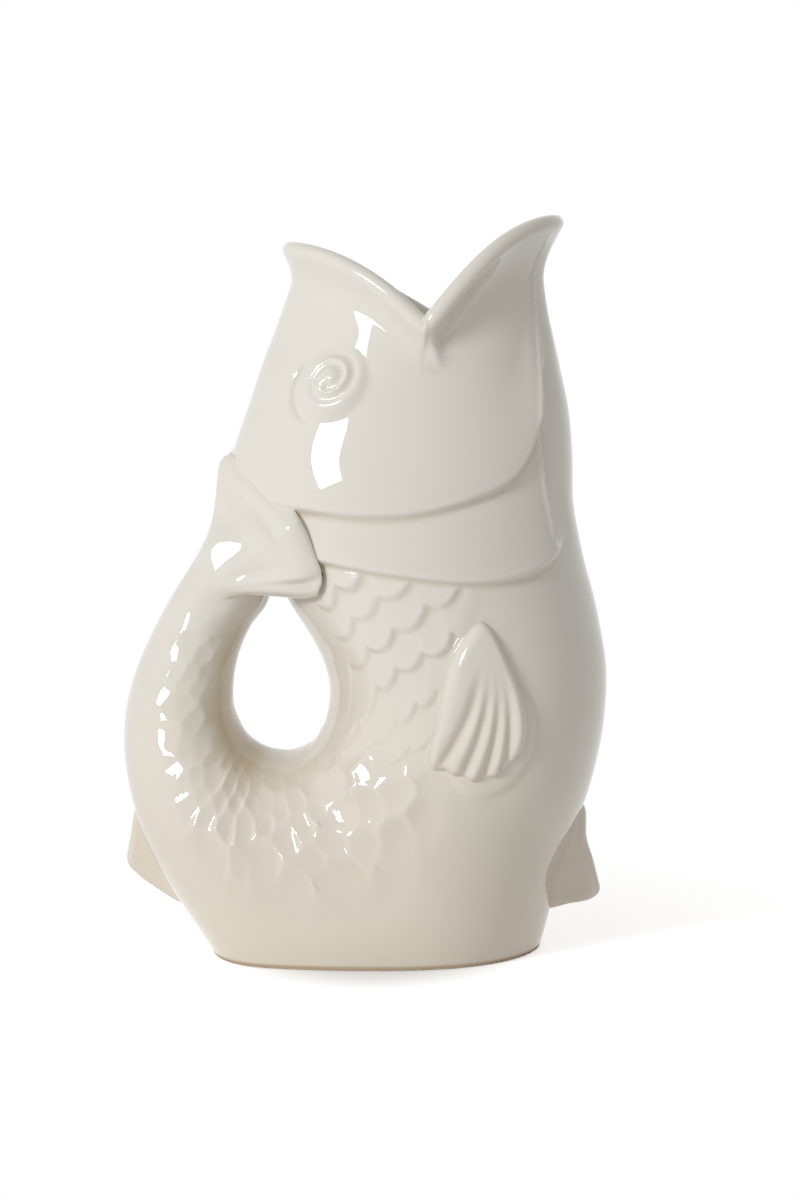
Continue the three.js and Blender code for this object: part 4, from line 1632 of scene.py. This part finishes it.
@dataclass
class Studio:
    """White studio with one soft light at the left of the camera. Sizes are in metres."""

    eye_point: tuple = (0.0682, -1.150, 0.252)
    aim_point: tuple = (0.01183, 0.0010, 0.11903)
    view_height: float = 20.05
    sensor: float = 36.0
    surround: float = 0.385
    surround_colour: tuple = (1.0, 0.985, 0.96)
    light_azimuth: float = math.radians(-39.0)
    light_elevation: float = math.radians(20.0)
    light_roll: float = math.radians(30.0)
    light_aim: tuple = (0.0, 0.0, 0.14)
    light_distance: float = 1.15
    light_size: float = 0.28
    light_power: float = 6.45
    light_colour: tuple = (0.945, 0.968, 1.0)
    floor_radius: float = 6.0
    floor_sides: int = 96
    floor_gap: float = 0.0002
    floor_colour: tuple = (0.93, 0.93, 0.93)
    floor_roughness: float = 0.9
    floor_glow: float = 0.60
    floor_fade: tuple = (0.09, 0.19)
    # Painted shadow: the floor's glow is cut within an oval in front of the foot, standing for a contact
    # shadow.
    painted_shadow_place: tuple = (0.002, -0.018, 0.0)
    painted_shadow_half: tuple = (0.058, 0.066, math.inf)
    painted_shadow_edge: tuple = (0.3, 1.1)
    painted_shadow_depth: float = 0.95

    def build(self) -> None:
        """Make floor, light, surroundings and camera."""
        self.make_floor()
        self.make_light()
        self.make_surround()
        self.make_camera()

    def make_light(self) -> None:
        """Add the soft light, which faces the jug."""
        data = bpy.data.lights.new("key_softbox", "AREA")
        data.shape = "RECTANGLE"
        data.size = data.size_y = self.light_size
        data.energy = self.light_power
        data.color = self.light_colour
        light = bpy.data.objects.new("key_softbox", data)
        level = math.cos(self.light_elevation)
        away = Vector((math.sin(self.light_azimuth) * level, -math.cos(self.light_azimuth) * level,
                       math.sin(self.light_elevation)))
        light.location = Vector(self.light_aim) + away * self.light_distance
        facing = (-away).to_track_quat("-Z", "Y") @ Quaternion((0.0, 0.0, 1.0), self.light_roll)
        light.rotation_euler = facing.to_euler()
        bpy.context.scene.collection.objects.link(light)

    def make_floor(self) -> None:
        """Add the floor."""
        work = bmesh.new()
        bmesh.ops.create_circle(work, cap_ends=True, segments=self.floor_sides, radius=self.floor_radius,
                                matrix=Matrix.Translation((0.0, 0.0, -self.floor_gap)))
        mesh = bpy.data.meshes.new("floor")
        work.to_mesh(mesh)
        work.free()
        floor = bpy.data.objects.new("floor", mesh)
        bpy.context.scene.collection.objects.link(floor)
        mesh.materials.append(self.floor_material())

    def floor_material(self) -> bpy.types.Material:
        """Make the floor's finish, with a painted shadow in front of the foot, fading to plain white away
        from the jug.

        Returns:
            The node material.
        """
        material = bpy.data.materials.new("studio_floor")
        material.use_nodes = True
        nodes = NodeKit(material.node_tree)
        shader = material.node_tree.nodes["Principled BSDF"]
        nodes.feed(shader, {"Base Color": (*self.floor_colour, 1.0), "Roughness": self.floor_roughness,
                            "Specular IOR Level": 0.0})
        seen = nodes.seen()
        place = nodes.place()
        painted_shadow_distance = nodes.oval(place, self.painted_shadow_place, self.painted_shadow_half)
        # Painted shadow: inside the oval the glow drops to a small share of its full strength.
        glow = (self.floor_glow * (1.0 - self.painted_shadow_depth), self.floor_glow)
        strength = nodes.reckon("MULTIPLY", seen, nodes.span(painted_shadow_distance, self.painted_shadow_edge, glow))
        lifted = nodes.add("Emission", {"Strength": strength})
        near = nodes.add("AddShader", {0: shader.outputs[0], 1: lifted.outputs[0]})
        white = nodes.add("Emission", {})
        far = nodes.reckon("MULTIPLY", nodes.span(nodes.length(place), self.floor_fade), seen)
        mix = nodes.add("MixShader", {0: far, 1: near.outputs[0], 2: white.outputs[0]})
        nodes.feed(material.node_tree.nodes["Material Output"], {"Surface": mix.outputs[0]})
        return material

    def make_surround(self) -> None:
        """Make the surroundings white to the eye and dimmer as light."""
        world = bpy.data.worlds.new("studio")
        bpy.context.scene.world = world
        world.use_nodes = True
        nodes = NodeKit(world.node_tree)
        shown = world.node_tree.nodes["Background"]
        nodes.feed(shown, {"Color": (1.0, 1.0, 1.0, 1.0)})
        lit = nodes.add("Background", {"Color": (*self.surround_colour, 1.0), "Strength": self.surround})
        mix = nodes.add("MixShader", {0: nodes.seen(), 1: lit.outputs[0], 2: shown.outputs[0]})
        nodes.feed(world.node_tree.nodes["World Output"], {"Surface": mix.outputs[0]})

    def make_camera(self) -> None:
        """Add the camera at the photograph's viewing angle."""
        data = bpy.data.cameras.new("camera")
        data.sensor_fit = "VERTICAL"
        data.sensor_height = self.sensor
        data.lens = self.sensor / 2.0 / math.tan(math.radians(self.view_height) / 2.0)
        camera = bpy.data.objects.new("camera", data)
        camera.location = self.eye_point
        view = Vector(self.aim_point) - Vector(self.eye_point)
        camera.rotation_euler = view.to_track_quat("-Z", "Y").to_euler()
        bpy.context.scene.collection.objects.link(camera)
        bpy.context.scene.camera = camera


def main() -> None:
    """Build the jug piece by piece, then the studio."""
    logging.basicConfig(level=logging.INFO, format="%(name)s %(message)s")
    bpy.context.scene.view_settings.view_transform = "Standard"
    skin = FishSkin()
    mouth = Mouth()
    body = FishBody(skin, mouth, Relief(mouth))
    pieces = body.build()
    pieces.append(TailFluke(skin, body).build())
    for side in Side:
        pieces.append(PectoralFin(skin, side).build())
        pieces.append(Eye(skin, side).build())
    pieces.append(FrontKeelFin().build())
    pieces.append(RearKeelFin().build())
    for piece in pieces:
        LOG.info("%s: %d faces", piece.name, len(piece.data.polygons))
    Studio().build()


if __name__ == "__main__":
    main()
